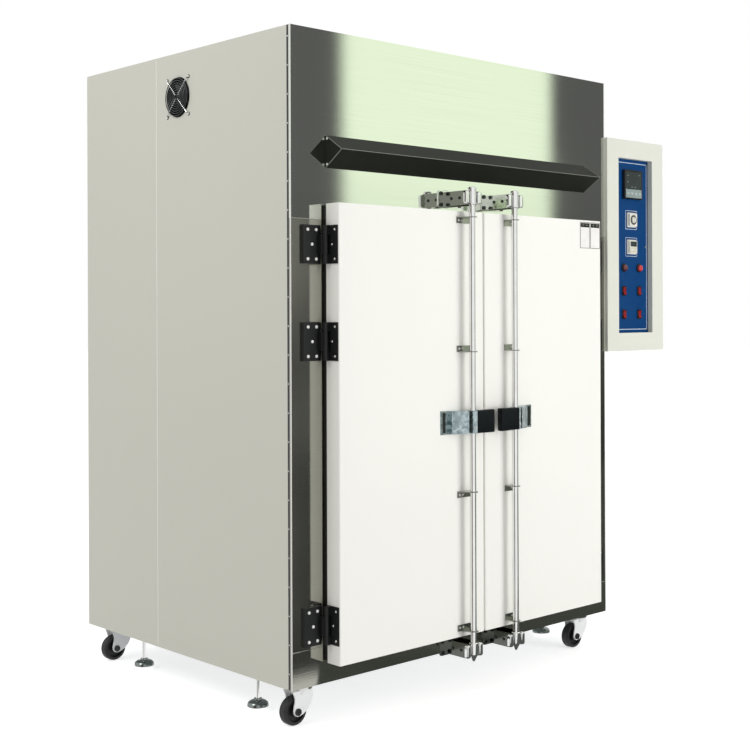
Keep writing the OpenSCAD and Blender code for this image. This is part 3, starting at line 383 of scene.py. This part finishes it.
front_steel = steel("stainless_front", srgb(215, 218, 210), 0.045, grain=0.2, smudge=0.02)
# Painted shade: the stiles and sill get a darker copy of the front stainless, so that what they mirror comes out
# dimmer.
frame_steel_painted_shade = steel("stainless_frame_painted_shade", srgb(176, 176, 166), 0.08, grain=0.25, smudge=0.06)
folded_steel = bright("stainless_fold", srgb(244, 242, 238), 0.08)
inside_steel = steel("stainless_chamber", srgb(186, 188, 186), 0.28, along=(900.0, 2.0, 2.0))
zinc_sheet = spangled("galvanised_sheet", srgb(170, 176, 176), srgb(120, 126, 128), 0.34)
zinc_cover = spangled("latch_cover_zinc", srgb(186, 200, 202), srgb(124, 140, 144), 0.24)
chrome = bright("chromed_steel", srgb(236, 237, 236), 0.035)
plated = bright("zinc_plated_steel", srgb(216, 217, 212), 0.14, wave=0.10)
bolt_dark = bright("dark_plated_bolt", srgb(72, 76, 74), 0.22, wave=0.10)
# Painted reflection: the upper keepers' plates carry dark, mid and light bands of a mirrored room in their colour.
reflected_dark, reflected_mid, reflected_light = srgb(96, 93, 86), srgb(140, 143, 134), srgb(226, 230, 222)
STRAP_REFLECTION_BANDS = [(-240, reflected_dark), (-126, reflected_dark), (-122, reflected_light), (-98, reflected_light), (-95, reflected_mid),
         (-80, reflected_mid), (-76, reflected_light), (-20, reflected_light), (4, reflected_light), (8, reflected_mid), (26, reflected_mid),
         (30, reflected_light), (200, reflected_light)]
keeper_plate_painted_reflection = reflection_banded_plate("keeper_plate_painted_reflection", srgb(100, 103, 98), [(x * MM + HOME[0], c) for x, c in STRAP_REFLECTION_BANDS], 1.0)
guide_plate = bright("guide_plate", srgb(150, 151, 146), 0.14, wave=0.10)
guard_wire = bright("fan_guard_wire", srgb(74, 77, 76), 0.30)
foot_dark = bright("foot_dark_chrome", srgb(128, 135, 132), 0.16, wave=0.05)
print("metals made")


# %% Plastic, rubber and lenses
def moulded(name, colour, rough, texture=0.08, coat=0.0, shine=0.5):
    """Moulded plastic: fine spark texture and a slight change of gloss."""
    made, tree, shader = start(name, shine, coat_weight=coat, coat_roughness=0.05)
    clouds = noise(tree, 25.0)
    tone = ramp(tree, clouds, [(0.3, shade(colour, 0.93)), (0.7, shade(colour, 1.05))])
    gloss = spread(tree, clouds, rough - 0.04, rough + 0.05)
    finish_with(tree, shader, tone, gloss, noise(tree, 1500.0, detail=1.0), texture, 0.0002)
    return made


grip_black = moulded("grip_black_plastic", srgb(13, 17, 20), 0.34, shine=0.14)
plain_black = moulded("black_plastic", srgb(26, 27, 28), 0.45)
bezel_black = moulded("bezel_black_plastic", srgb(20, 21, 22), 0.28)
face_dark = moulded("dark_screen", srgb(52, 60, 58), 0.20, texture=0.0, coat=0.3)
key_grey = moulded("key_grey_plastic", srgb(138, 152, 150), 0.5)
key_light = moulded("key_light_plastic", srgb(170, 182, 178), 0.5)
timer_white = moulded("timer_white_plastic", srgb(226, 224, 214), 0.4)
timer_beige = moulded("timer_beige_plastic", srgb(204, 198, 176), 0.45)
line_white = moulded("printed_white_line", srgb(222, 232, 244), 0.5)
panel_blue = moulded("panel_blue_foil", srgb(2, 60, 114), 0.40, texture=0.12, shine=0.12)
plate_white = moulded("plate_white_foil", srgb(240, 238, 236), 0.4)
plate_grey = moulded("plate_grey_edge", srgb(96, 93, 90), 0.45)
rubber = moulded("black_rubber", srgb(28, 28, 29), 0.6, texture=0.2)
lens_red = moulded("lens_red", srgb(200, 34, 44), 0.12, texture=0.0, coat=0.8)
key_red = moulded("key_red", srgb(138, 20, 28), 0.24, texture=0.0, coat=0.3)
lens_dark = moulded("lens_dark_red", srgb(92, 30, 34), 0.12, texture=0.0, coat=0.8)
print("plastics made", len(bpy.data.materials))

# %% [markdown]
# ## A finish for every solid
#
# The solids keep their meshes, so only their material slots are filled. A table from a word in the node's name
# to a finish keeps this short, and the first word that fits wins.

# %% Finishes of the CAD nodes
FINISHES = [
    ("side_panel", body_paint), ("rear_panel", body_paint), ("top_panel", body_paint),
    ("bottom_panel", zinc_sheet), ("header_panel", front_steel), ("sill_panel", frame_steel_painted_shade),
    ("stile", frame_steel_painted_shade), ("chamber", inside_steel), ("door_liner", inside_steel),
    ("heat_deflector", black_paint), ("keepers", keeper_plate_painted_reflection), ("hinges", hinge_black),
    ("fan_guard", guard_wire), ("fan_", plain_black), ("control_box", cream_paint),
    ("control_panel", panel_blue), ("temperature_controller", bezel_black), ("timers", timer_white),
    ("panel_lamps", bezel_black), ("rocker_switches", bezel_black), ("door_pan", door_paint),
    ("door_seal", rubber), ("rod_guides", guide_plate), ("latch_cover", zinc_cover), ("handle_hub", zinc_cover),
    ("blank_plates", plate_white), ("lock_rod", chrome), ("handle_grip", grip_black),
    ("caster_plates", plated), ("caster_fork", fork_paint), ("caster_wheel", rubber), ("_foot", chrome),
]
for name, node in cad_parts.items():
    finish = next(made for word, made in FINISHES if word in name)
    node.data.materials.clear()
    node.data.materials.append(finish)
print("solids finished", len(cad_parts))

# %% [markdown]
# ## Screws
#
# A pan head is a flat middle that falls away to a short upright edge. One turned profile serves them all, made
# larger or smaller, and each group is joined into one piece that rides on the body that it holds.

# %% Screws of the hinges
def pan_head(r, h=None):
    """Profile of a pan head: a shallow dimple, a flat land, a round shoulder and a short edge."""
    h = h or 0.55 * r
    return turned([(0, 0), (r, 0), (r, 0.3 * h), (0.86 * r, 0.8 * h), (0.62 * r, h),
                   (0.3 * r, h), (0.22 * r, 0.6 * h), (0, 0.6 * h)], steps=14)


HINGES = door_low + np.array([101, 835, 1086])
FIVE = np.array([[-14, 38], [14, 38], [0, 0], [-14, -38], [14, -38]])


def five_at(x, y, spread_on, turn):
    """Five places round each hinge's middle, two above, one in the middle and two below."""
    x = x + (FIVE[:, 0] * turn if spread_on == "x" else 0 * FIVE[:, 0])
    y = y + (FIVE[:, 0] * 0.78 if spread_on == "y" else 0 * FIVE[:, 0])
    rows = [np.column_stack([x, y, z + FIVE[:, 1]]) for z in HINGES]
    return np.concatenate(rows)


frame_screws = [stand(pan_head(4.4), "front", five_at(PAIR_X + s * 591.5, -8, "x", 1)) for s in (-1, 1)]
piece("frame_hinge_screws", frame_screws, screw_paint, "cabinet")
for side, s in OUTWARD.items():
    heads = stand(pan_head(4.0), side, five_at(PAIR_X + s * (DOOR_SIDE + 2.5), -35, "y", 1))
    piece(side + "_door_hinge_screws", [heads], plated, side + "_door")
print({name: count for name, count in made_pieces.items()})

# %% Screws of the rod guides
guide_z = [door_low + 25, handle_z - 204, handle_z + 204, door_high - 25]
for side, s in OUTWARD.items():
    places = [(RODS[side] + s * x, DOOR_FACE - 2.5, z) for z in guide_z for x in (27, 14)]
    piece(side + "_guide_screws", [stand(pan_head(4.2), "front", places)], plated, side + "_door")

# %% Screws of the deflector, rivets of the grooves and screws of the fan guard
deflector_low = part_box("heat_deflector")[0].z / MM
ends = [stand(pan_head(3.4), side, [(PAIR_X + s * 538, -7, deflector_low + z) for z in (9, 76)])
        for side, s in OUTWARD.items()]
piece("deflector_screws", ends, screw_paint, "cabinet")
# Painted highlight: thin pale bars along the deflector's ridge and end edges stand for the light that those edges
# catch.
tips = [np.array([PAIR_X + s * 537.8, -64.6, deflector_low + 44]) for s in (-1, 1)]
highlight_lines = [bar(*tips, 0.9)]
for tip in tips:
    highlight_lines += [bar(tip, (tip[0], -0.5, deflector_low + z), 0.9) for z in (0.6, 84.4)]
piece("deflector_highlight_edges", highlight_lines, edge_highlight_paint, "cabinet", sharp=60)

rivet_z = np.arange(150, top_z - 20, 74.0)
dome = turned([(0, 0), (2.0, 0), (1.8, 0.5), (1.1, 0.9), (0, 1.0)], steps=10)
body_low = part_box("sill_panel")[0].z / MM
middle_z, tall = (body_low + top_z) / 2, top_z - body_low - 2
# Painted shade: a thin black strip lies over the rear of each folded edge, where the groove falls in shade; the rivets
# sit on it.
strip = pad(7.4, tall, 0.5, slab(0.5, 0.2), corner=2)
filler = pad(8.8, tall, 0.5, slab(6.2, 0.5), corner=2)
seam_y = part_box("left_front_side_panel")[1].y / MM - HOME[1] / MM
# Painted highlight: a pale strip in the seam of each side stands for the light caught by the sheet's edge.
seam = pad(2.8, tall - 4, 0.5, slab(0.7, 0.25), corner=2)
for name, shape, x, y, finish, slot in (
        ("groove_shade_strips", strip, 649.9, 9.8, plain_black, "black_plastic"),
        ("edge_fillers", filler, 643.8, 18.0, body_paint, "grey_body_paint"),
        ("side_seam_highlights", seam, 649.8, seam_y + 0.5, seam_highlight_paint, "grey_body_paint")):
    piece(name, [stand(shape, side, (s * x, y, middle_z)) for side, s in OUTWARD.items()], finish, "cabinet")
rivets = [stand(dome, side, [(s * 650.3, 9.8, z) for z in rivet_z]) for side, s in OUTWARD.items()]
piece("edge_rivets", rivets, plated, "cabinet")

fan_y, fan_z, guard_half = 502, top_z - 125, 52.4
corners = [(-652, fan_y + a * guard_half, fan_z + b * guard_half) for a in (-1, 1) for b in (-1, 1)]
legs = [bar((-654.7, fan_y + 6.6 * a, fan_z + 6.6 * b), (-654.7, fan_y + 49 * a, fan_z + 49 * b), 1.6)
        for a in (-1, 1) for b in (-1, 1)]
piece("fan_guard_legs", legs, chrome, "cabinet")
piece("fan_guard_screws", [stand(pan_head(4.0), "left", corners)], plated, "cabinet")
print("rivets in each groove", len(rivet_z))

# %% Seams of the front frame and its folded edges
opening_low, opening_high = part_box("left_stile")[0].z / MM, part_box("left_stile")[1].z / MM
seams = [bar((s * 649, -0.1, z), (s * 512, -0.1, z), 0.8) for s in (-1, 1) for z in (opening_low, opening_high)]
folds = [bar((s * 648.8, 1.0, body_low + 1), (s * 648.8, 1.0, top_z - 1), 1.5) for s in (-1, 1)]
piece("frame_seams", seams + folds, folded_steel, "cabinet", sharp=60)
print("front frame from", round(body_low, 1), "opening from", round(opening_low, 1), "to", round(opening_high, 1))

# %% Jaws and bolts of the keepers
keeper_z = (door_low - 37, door_high + 37)
keeper_places = np.array([(RODS[side], 0, z) for side in RODS for z in keeper_z])
jaw = pad(15, 36, 6, [(0, 0), (0, 8), (0.6, 10), (2, 11.6), (4, 12)], corner=8)
jaws = [stand(jaw, "front", keeper_places + (x, -84, 0)) for x in (-24.6, 24.6)]
piece("keeper_jaws", jaws, chrome, "cabinet", sharp=50)
base = pad(94, 48, 7, slab(0.6, 0.3), corner=6)
piece("keeper_bases", [stand(base, "front", keeper_places + (0, -2.8, 0))], plated, "cabinet")
hexagon = turned([(0, 0), (5.6, 0), (6.2, 0.6), (6.2, 3.6), (5.4, 4.4), (0, 4.4)], steps=6)
bolts = [stand(hexagon, "front", keeper_places + (x, -3, z)) for x in (-38, 38) for z in (-16, 16)]
pins = [stand(pan_head(4.5), side, keeper_places + (s * 23.5, -y, 0)) for side, s in OUTWARD.items() for y in (30, 62)]
piece("keeper_bolts", bolts + pins, bolt_dark, "cabinet", sharp=30)

# %% [markdown]
# ## Control panel
#
# The panel is blue foil behind the window of the box. A thin white line frames it, and below the square
# controller come two timers, two lamps and four rocker switches. Lettering is left out, so the fields under
# them stay plain.

# %% Panel line and screws
PANEL_X, PANEL_Y = 802, 6
window_high, window_low = 1574, 1003
middle = (window_high + window_low) / 2
line = rim(170, 550, 3, [(0, 0), (0, 0.3), (1.8, 0.3), (1.8, 0)], corner=3)
piece("panel_line", [stand(line, "front", (PANEL_X, PANEL_Y, middle))], line_white, "cabinet")
screw_places = [(PANEL_X + a, PANEL_Y, z) for a in (-80, 80) for z in (window_high - 12, middle, window_low + 12)]
piece("panel_screws", [stand(pan_head(3.6), "front", screw_places)], plated, "cabinet")

# %% Temperature controller
controller_z = window_high - 83
case = pad(96, 96, 3, [(0, 0), (0, 9.5), (0.8, 11.2), (2.0, 12), (3.6, 12), (4.6, 10.6)])
controller = piece("controller_case", [stand(case, "front", (PANEL_X, PANEL_Y, controller_z))], bezel_black,
                   "cabinet")
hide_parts("temperature_controller")
face_y = PANEL_Y - 10.6
screen = stand(pad(84, 56, 2, slab(0.6)), "front", (PANEL_X, face_y, controller_z + 14))
piece("controller_screen", [screen], face_dark, "cabinet")
keys = [stand(pad(86, 28, 1.5, slab(0.8)), "front", (PANEL_X, face_y, controller_z - 29.5))]
piece("controller_key_strip", keys, key_grey, "cabinet")
buttons = pad(13, 8, 2.5, slab(1.6, 0.7))
button_places = [(PANEL_X + x, face_y - 0.6, controller_z - 29.5) for x in (-31.5, -10.5, 10.5, 31.5)]
piece("controller_keys", [stand(buttons, "front", button_places)], key_light, "cabinet")
marks = pad(7, 1.6, 0.6, slab(0.4, 0.2), corner=2)
mark_places = [(PANEL_X + x, face_y - 0.5, controller_z + z) for x, z in ((-31, 29), (-31, 8), (30, 32), (8, -8), (-10, -8))]
piece("controller_marks", [stand(marks, "front", mark_places)], key_grey, "cabinet")
print("controller at", controller_z)

# %% Timers
upper_z, lower_z = window_high - 199, window_high - 288
timer_case = pad(48, 48, 2.5, [(0, 0), (0, 2.2), (0.6, 3), (3.4, 3), (3.8, 3.6), (3.8, 9), (4.6, 10), (6, 10)])
cases = piece("timer_cases", [stand(timer_case, "front", [(PANEL_X, PANEL_Y, z) for z in (upper_z, lower_z)])],
              timer_white, "cabinet")
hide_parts("timers")
timer_y = PANEL_Y - 10
outlines = rim(62, 62, 2, [(0, 0), (0, 0.3), (1.2, 0.3), (1.2, 0)], corner=2)
line_places = [(PANEL_X, PANEL_Y, z) for z in (upper_z, lower_z)]
piece("timer_outlines", [stand(outlines, "front", line_places)], line_white, "cabinet")
ring = turned([(11, 0), (16, 0), (16, 0.5), (11, 0.5), (11, 0)], steps=40)
a = np.radians(np.arange(-140, 141, 28))
ticks = [stand(pad(1.2, 1.2, 0.4, slab(0.5, 0.2), corner=2), "front",
               np.column_stack([PANEL_X + 18.4 * np.sin(a), np.full(len(a), timer_y), upper_z + 18.4 * np.cos(a)]))]
piece("timer_dial", [stand(ring, "front", (PANEL_X, timer_y, upper_z))] + ticks, bezel_black, "cabinet")
knob = turned([(0, 0), (10, 0), (10, 2.4), (9, 3.6), (5, 4.2), (0, 4.2)], steps=32)
pointer = pad(3.2, 17, 1.4, slab(6.4, 1.0))
piece("timer_knob", [stand(knob, "front", (PANEL_X, timer_y, upper_z)),
                     stand(pointer, "front", (PANEL_X, timer_y, upper_z))], timer_white, "cabinet")
piece("timer_display", [stand(pad(34, 17, 1, slab(0.5)), "front", (PANEL_X, timer_y, lower_z + 9.5))],
      face_dark, "cabinet")
piece("timer_field", [stand(pad(34, 16, 1, slab(0.5)), "front", (PANEL_X, timer_y, lower_z - 9.5))],
      timer_beige, "cabinet")
wheels = pad(6, 9, 1.2, slab(1.6, 0.6))
piece("timer_wheels", [stand(wheels, "front", [(PANEL_X + x, timer_y, lower_z - 9.5) for x in (-12, -4, 4, 12)])],
      timer_white, "cabinet")
print("timers at", upper_z, lower_z)

# %% Lamps and rocker switches
lamp_z = window_high - 357
bezel = turned([(0, 0), (14, 0), (14, 3.2), (13.2, 4.4), (11.4, 4.8), (11.0, 4.0), (0, 4.0)], steps=36)
bezels = piece("lamp_bezels", [stand(bezel, "front", [(PANEL_X + x, PANEL_Y, lamp_z) for x in (-41, 41)])],
               bezel_black, "cabinet")
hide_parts("panel_lamps")
lens = turned([(0, 0), (10.6, 0), (10.6, 6), (10.2, 8.6), (8.4, 10.6), (5, 11.7), (0, 12)], steps=36)
piece("lamp_lens_right", [stand(lens, "front", (PANEL_X + 41, PANEL_Y, lamp_z))], lens_red, "cabinet")
piece("lamp_lens_left", [stand(lens, "front", (PANEL_X - 41, PANEL_Y, lamp_z))], lens_dark, "cabinet")
rocker_places = [(PANEL_X + x, PANEL_Y, window_high - drop) for x in (-41, 41) for drop in (433, 510)]
housing = pad(22, 31, 2, [(0, 0), (0, 2.2), (0.7, 3), (2.6, 3), (3.2, 1.6)])
housings = piece("rocker_housings", [stand(housing, "front", rocker_places)], bezel_black, "cabinet")
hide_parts("rocker_switches")


def rocker_key(w, h, press, rise):
    """A key whose front falls in two slopes to a crease: out = press + (rise - press) |z| where it stands proud."""
    z = np.array([-h / 2, -h / 2, -h / 4, 0.0, h / 4, h / 2, h / 2])
    out = np.array([0, press + rise, press + 0.62 * rise, press + 0.3 * rise, press + 0.36 * rise, press + 0.5 * rise, 0])
    x = np.array([-w / 2, w / 2])
    grid = np.stack([np.stack([np.full(7, v), z, out], -1) for v in x])
    ends = np.stack([np.full(7, 0), z, np.minimum(out, 0.5)], -1)[None]
    return net(np.concatenate([ends, grid, ends]))


piece("rocker_keys", [stand(rocker_key(15, 24, 2.6, 3.4), "front", rocker_places)], key_red, "cabinet")
print("pieces", len(made_pieces), "faces", sum(made_pieces.values()))

# %% [markdown]
# ## Doors and handles
#
# The grips are sleeves of smooth black plastic. Their solids have square ends, so a pad with eased edges stands
# for each of them. The two small plates on the right door are blank, with a dark head and a rivet.

# %% Grips
for side, s in OUTWARD.items():
    points, faces = pad(74, 20, 5, [(3.2, -31.5), (1.2, -30.7), (0.3, -29.3), (0, -27.5), (0, 27.5), (0.3, 29.3),
                                    (1.2, 30.7), (3.2, 31.5)], corner=6)
    points[:, 2] *= 1 + (37 - s * points[:, 0]) / 74 / 31.5
    made = piece(side + "_grip_sleeve", [stand((points, faces), "up", (RODS[side] - s * 38, ROD_Y - 7, handle_z))],
                 grip_black, side + "_lock", sharp=60)
    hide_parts(side + "_handle_grip")

# %% Rivets of the sleeves, and painted shade in the slots of the latch covers
for side, s in OUTWARD.items():
    ring = turned([(0, 0), (2.4, 0), (3.0, 1.4), (4.4, 1.6), (5.0, 0.6), (5.0, -1.6), (0, -1.6)], steps=20)
    place = (RODS[side] + s * 6, ROD_Y - 17 + (6 + 1) * math.tan(SLOPE), handle_z - 16)
    piece(side + "_sleeve_rivet", [stand(ring, "slope_" + side, place)], plated, side + "_lock")
    # Painted shade: a flat black pad inside a zinc lip stands for the shaded opening at the foot of each latch cover.
    slot = pad(12, 56, 1.5, slab(0.6, 0.3), corner=3)
    lip = rim(17, 62, 3, [(0, 0), (0, 1.2), (0.4, 1.6), (1.6, 1.6), (2.0, 1.2), (2.0, 0)], corner=4)
    foot = (RODS[side] + s * 90, DOOR_FACE - 2.5, handle_z)
    piece(side + "_cover_opening_shade", [stand(slot, "front", foot)], bezel_black, side + "_door")
    piece(side + "_cover_lip", [stand(lip, "front", foot)], zinc_cover, side + "_door")

# %% Blank plates
plate_x = [PAIR_X + DOOR_SIDE - 5 - 24 - i * 50 for i in (0, 1)]
plate_z = door_high - 5 - 41
edge = rim(47, 81, 2.5, [(0, 0), (0, 0.25), (1.6, 0.25), (1.6, 0)], corner=3)
piece("plate_edges", [stand(edge, "front", [(x, DOOR_FACE - 1, plate_z) for x in plate_x])], plate_grey,
      "right_door")
head = pad(42, 13, 1, slab(0.3, 0.15), corner=2)
piece("plate_heads", [stand(head, "front", [(x, DOOR_FACE - 1, plate_z + 31) for x in plate_x])], bezel_black,
      "right_door")
piece("plate_rivets", [stand(dome, "front", [(x + a, DOOR_FACE - 1.3, plate_z + 31) for x in plate_x for a in (-9, 9)])],
      plated, "right_door")

# %% Smooth bases and lock nuts of the feet
a = np.radians(np.arange(15, 90, 10))
dome_line = np.column_stack([11 + 18.2 * np.cos(a), 3.2 + 13 * np.sin(a)])
foot_base = turned([(27, 0), (29.2, 0), (29.4, 2.6), *dome_line, (11.3, 16.3), (11.3, 20.2), (0, 20.2)], steps=48)
for name in [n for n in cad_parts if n.endswith("_foot")]:
    low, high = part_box(name)
    x, y = ((low + high) / 2).x / MM - HOME[0] / MM, ((low + high) / 2).y / MM - HOME[1] / MM
    nut = turned([(6.3, 0), (9.6, 0), (10.4, 0.8), (10.4, 7.2), (9.6, 8), (6.3, 8), (6.3, 0)], steps=6)
    piece(name + "_base", [stand(foot_base, "up", (x, y, 12))], foot_dark, name.replace("_foot", "_levelling_foot"),
          sharp=50)
    piece(name + "_nut", [stand(nut, "up", (x, y, body_low - 8.2))], plated, "cabinet", sharp=20)
print("pieces", len(made_pieces))

# %% Axle caps and plate bolts of the casters
SHELL = [(-44, 91), (22, 91), (24.5, 80), (24, 68), (20, 56), (13, 45), (2, 35), (-10, 28.5), (-20, 25.5), (-28, 25),
         (-35, 28), (-39.5, 34), (-40.5, 42), (-39, 52), (-36, 62), (-35.5, 72), (-39, 82)]


def cut_out(points, layers):
    """A plate cut to any outline: ring i is m + (1 - inset/50) (p - m) at each layer's height, closed at m."""
    points = np.array(points, float)
    m = points.mean(0)
    rings = [np.column_stack([m + (1 - i / 50) * (points - m), np.full(len(points), z)]) for i, z in layers]
    ends = [np.column_stack([np.tile(m, (len(points), 1)), np.full(len(points), layers[j][1])]) for j in (0, -1)]
    return net(np.stack([ends[0], *rings, ends[1]]))


shell = cut_out(SHELL[::-1], slab(3.5, 1.2))
cap = turned([(0, 0), (9, 0), (9.4, 0.8), (9.4, 4.0), (8.4, 5.0), (3.0, 5.2), (2.4, 4.4), (0, 4.4)], steps=24)
for name in [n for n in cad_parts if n.endswith("_caster_wheel")]:
    low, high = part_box(name)
    x, y = ((low + high) / 2).x / MM - HOME[0] / MM, ((low + high) / 2).y / MM - HOME[1] / MM
    shells = [stand(shell, "front", (x + 27, y - 17.5, 0)), stand(shell, "back", (x + 27, y + 17.5, 0))]
    piece(name.replace("wheel", "fork_shells"), shells, fork_paint, name.replace("caster_wheel", "fork"),
          sharp=45)
    caps = [stand(cap, "front", (x, y - 21, 37.5)), stand(cap, "back", (x, y + 21, 37.5))]
    piece(name.replace("wheel", "axle_caps"), caps, plain_black, name.replace("caster_wheel", "fork"))
    under = [(x + 27 + a, y + b, 103) for a in (-38, 38) for b in (-28, 28)]
    piece(name.replace("wheel", "plate_bolts"), [stand(hexagon, "down", under)], bolt_dark, "cabinet",
          sharp=30)

# %% [markdown]
# ## Floor, room and light
#
# The floor and the room are plain and pale, and white where the camera or a mirror sees them. The light is soft:
# an even glow from all round, a large lamp from the front right for the doors and a weaker one from the left.
# The stainless front would show nothing but white, so it is given a room to mirror: a wall with a bright window
# between two dark ends, and a dark floor before the oven. Only reflections see them.

# %% World and floor
def seen_directly(tree):
    """1 for rays that end at the camera, straight or by way of metal or glass, and 0 for light on a surface."""
    path = add(tree, "LightPath")
    both = add(tree, "Math", {0: path.outputs["Is Camera Ray"], 1: path.outputs["Is Glossy Ray"]}, operation="MAXIMUM")
    sockets = {0: both.outputs[0], 1: path.outputs["Is Transmission Ray"]}
    return add(tree, "Math", sockets, operation="MAXIMUM").outputs[0]


world = bpy.data.worlds.new("room")
world.use_nodes = True
bpy.context.scene.world = world
tree = world.node_tree
ground = tree.nodes["Background"]
ground.inputs["Color"].default_value = (1, 1, 1, 1)
level = add(tree, "MapRange", {"Value": seen_directly(tree), "To Min": 0.60, "To Max": 1.0}).outputs["Result"]
tree.links.new(level, ground.inputs["Strength"])

bpy.ops.mesh.primitive_plane_add(size=60)
floor = bpy.context.object
floor.name = "floor"
made, tree, shader = start("pale_floor", roughness=0.9)
shader.inputs["Specular IOR Level"].default_value = 0.1
tone = ramp(tree, noise(tree, 3.0), [(0.3, (0.80, 0.80, 0.80, 1)), (0.7, (0.82, 0.82, 0.82, 1))])
tree.links.new(tone, shader.inputs["Base Color"])
shader.inputs["Emission Color"].default_value = (1, 1, 1, 1)
lift = add(tree, "MapRange", {"Value": seen_directly(tree), "To Min": 0.0, "To Max": 0.62}).outputs["Result"]
tree.links.new(lift, shader.inputs["Emission Strength"])
floor.data.materials.append(made)
floor.visible_glossy = False
floor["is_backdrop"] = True

# %% Lamps
def lamp(name, place, aim, size, power):
    """A large square lamp turned towards a point."""
    data = bpy.data.lights.new(name, "AREA")
    data.size = size
    data.energy = power
    made = bpy.data.objects.new(name, data)
    made.location = place
    made.rotation_euler = (Vector(aim) - Vector(place)).to_track_quat("-Z", "Y").to_euler()
    bpy.context.scene.collection.objects.link(made)
    return made


key = lamp("front_lamp", (2.4, -5.2, 1.0), (-0.1, -0.4, 0.9), 2.6, 156)
side_lamp = lamp("left_lamp", (-4.4, 0.6, 4.2), (-0.8, 0.1, 1.2), 2.4, 80)
key.visible_glossy = False
print("lamps", [round(o.data.energy) for o in (key, side_lamp)])


# %% The mirrored room
def mirrored_card(name, corners, colour_of):
    """A stage sheet with a glow of its own that only reflections see."""
    mesh = bpy.data.meshes.new(name)
    mesh.from_pydata(corners, [], [(0, 1, 2, 3)])
    made = bpy.data.objects.new(name, mesh)
    bpy.context.scene.collection.objects.link(made)
    for sense in ("camera", "diffuse", "transmission", "volume_scatter", "shadow"):
        setattr(made, "visible_" + sense, False)
    finish = bpy.data.materials.new(name)
    finish.use_nodes = True
    tree = finish.node_tree
    tree.nodes.clear()
    colour, strength = colour_of(tree)
    glow = add(tree, "Emission", {"Color": colour, "Strength": strength})
    out = add(tree, "OutputMaterial", {"Surface": glow.outputs[0]})
    mesh.materials.append(finish)
    made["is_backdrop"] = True
    return made


WALL_LOW, WALL_HIGH = 1.6, 9.0
WINDOW_LOW, WINDOW_HIGH, WINDOW_EDGE = 2.2, 4.0, 0.1
ROOM_WALL, WINDOW_GLASS = (0.1, 0.1, 0.1, 1.0), (0.9, 1.0, 0.8, 1.0)
FLOOR_LEVEL, HEAD_LEVEL, HEAD_Z = 0.6, 1.3, 2.0


def room_window(tree):
    """One green-white window in a dark wall; its light grows with height up to the head of the oven."""
    split = add(tree, "SeparateXYZ", {"Vector": add(tree, "TexCoord").outputs["Object"]})
    sockets = {"Value": split.outputs["X"], "From Min": WALL_LOW, "From Max": WALL_HIGH}
    along = add(tree, "MapRange", sockets).outputs["Result"]
    edges = [(WINDOW_LOW - WINDOW_EDGE, ROOM_WALL), (WINDOW_LOW, WINDOW_GLASS),
             (WINDOW_HIGH, WINDOW_GLASS), (WINDOW_HIGH + WINDOW_EDGE, ROOM_WALL)]
    stops = [((x - WALL_LOW) / (WALL_HIGH - WALL_LOW), colour) for x, colour in edges]
    sockets = {"Value": split.outputs["Z"], "From Max": HEAD_Z, "To Min": FLOOR_LEVEL, "To Max": HEAD_LEVEL}
    return ramp(tree, along, stops), add(tree, "MapRange", sockets).outputs["Result"]


wall_y = -3.6
mirrored_card("mirrored_wall", [(1.6, wall_y, -1), (9, wall_y, -1), (9, wall_y, 5), (1.6, wall_y, 5)], room_window)
mirrored_card("mirrored_floor", [(-0.75, -0.44, -0.001), (2.2, wall_y, -0.001), (9, wall_y, -0.001), (9, -0.44, -0.001)],
              lambda tree: (ramp(tree, noise(tree, 2.0), [(0.3, (0.085, 0.09, 0.082, 1)), (0.7, (0.12, 0.13, 0.12, 1))]), 1.0))
mirrored_card("mirrored_post", [(-3.2, -2.1, -1), (-3.2, -0.46, -1), (-3.2, -0.46, 5), (-3.2, -2.1, 5)],
              lambda tree: (ramp(tree, noise(tree, 2.0), [(0.3, (0.13, 0.09, 0.07, 1)), (0.7, (0.18, 0.13, 0.10, 1))]), 1.0))

# %% [markdown]
# ## Sizes
#
# The box round the dressed model, floor and stage sheets left out, is worked out at the end.

# %% Sizes and the end
bpy.context.view_layer.update()
low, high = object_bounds()
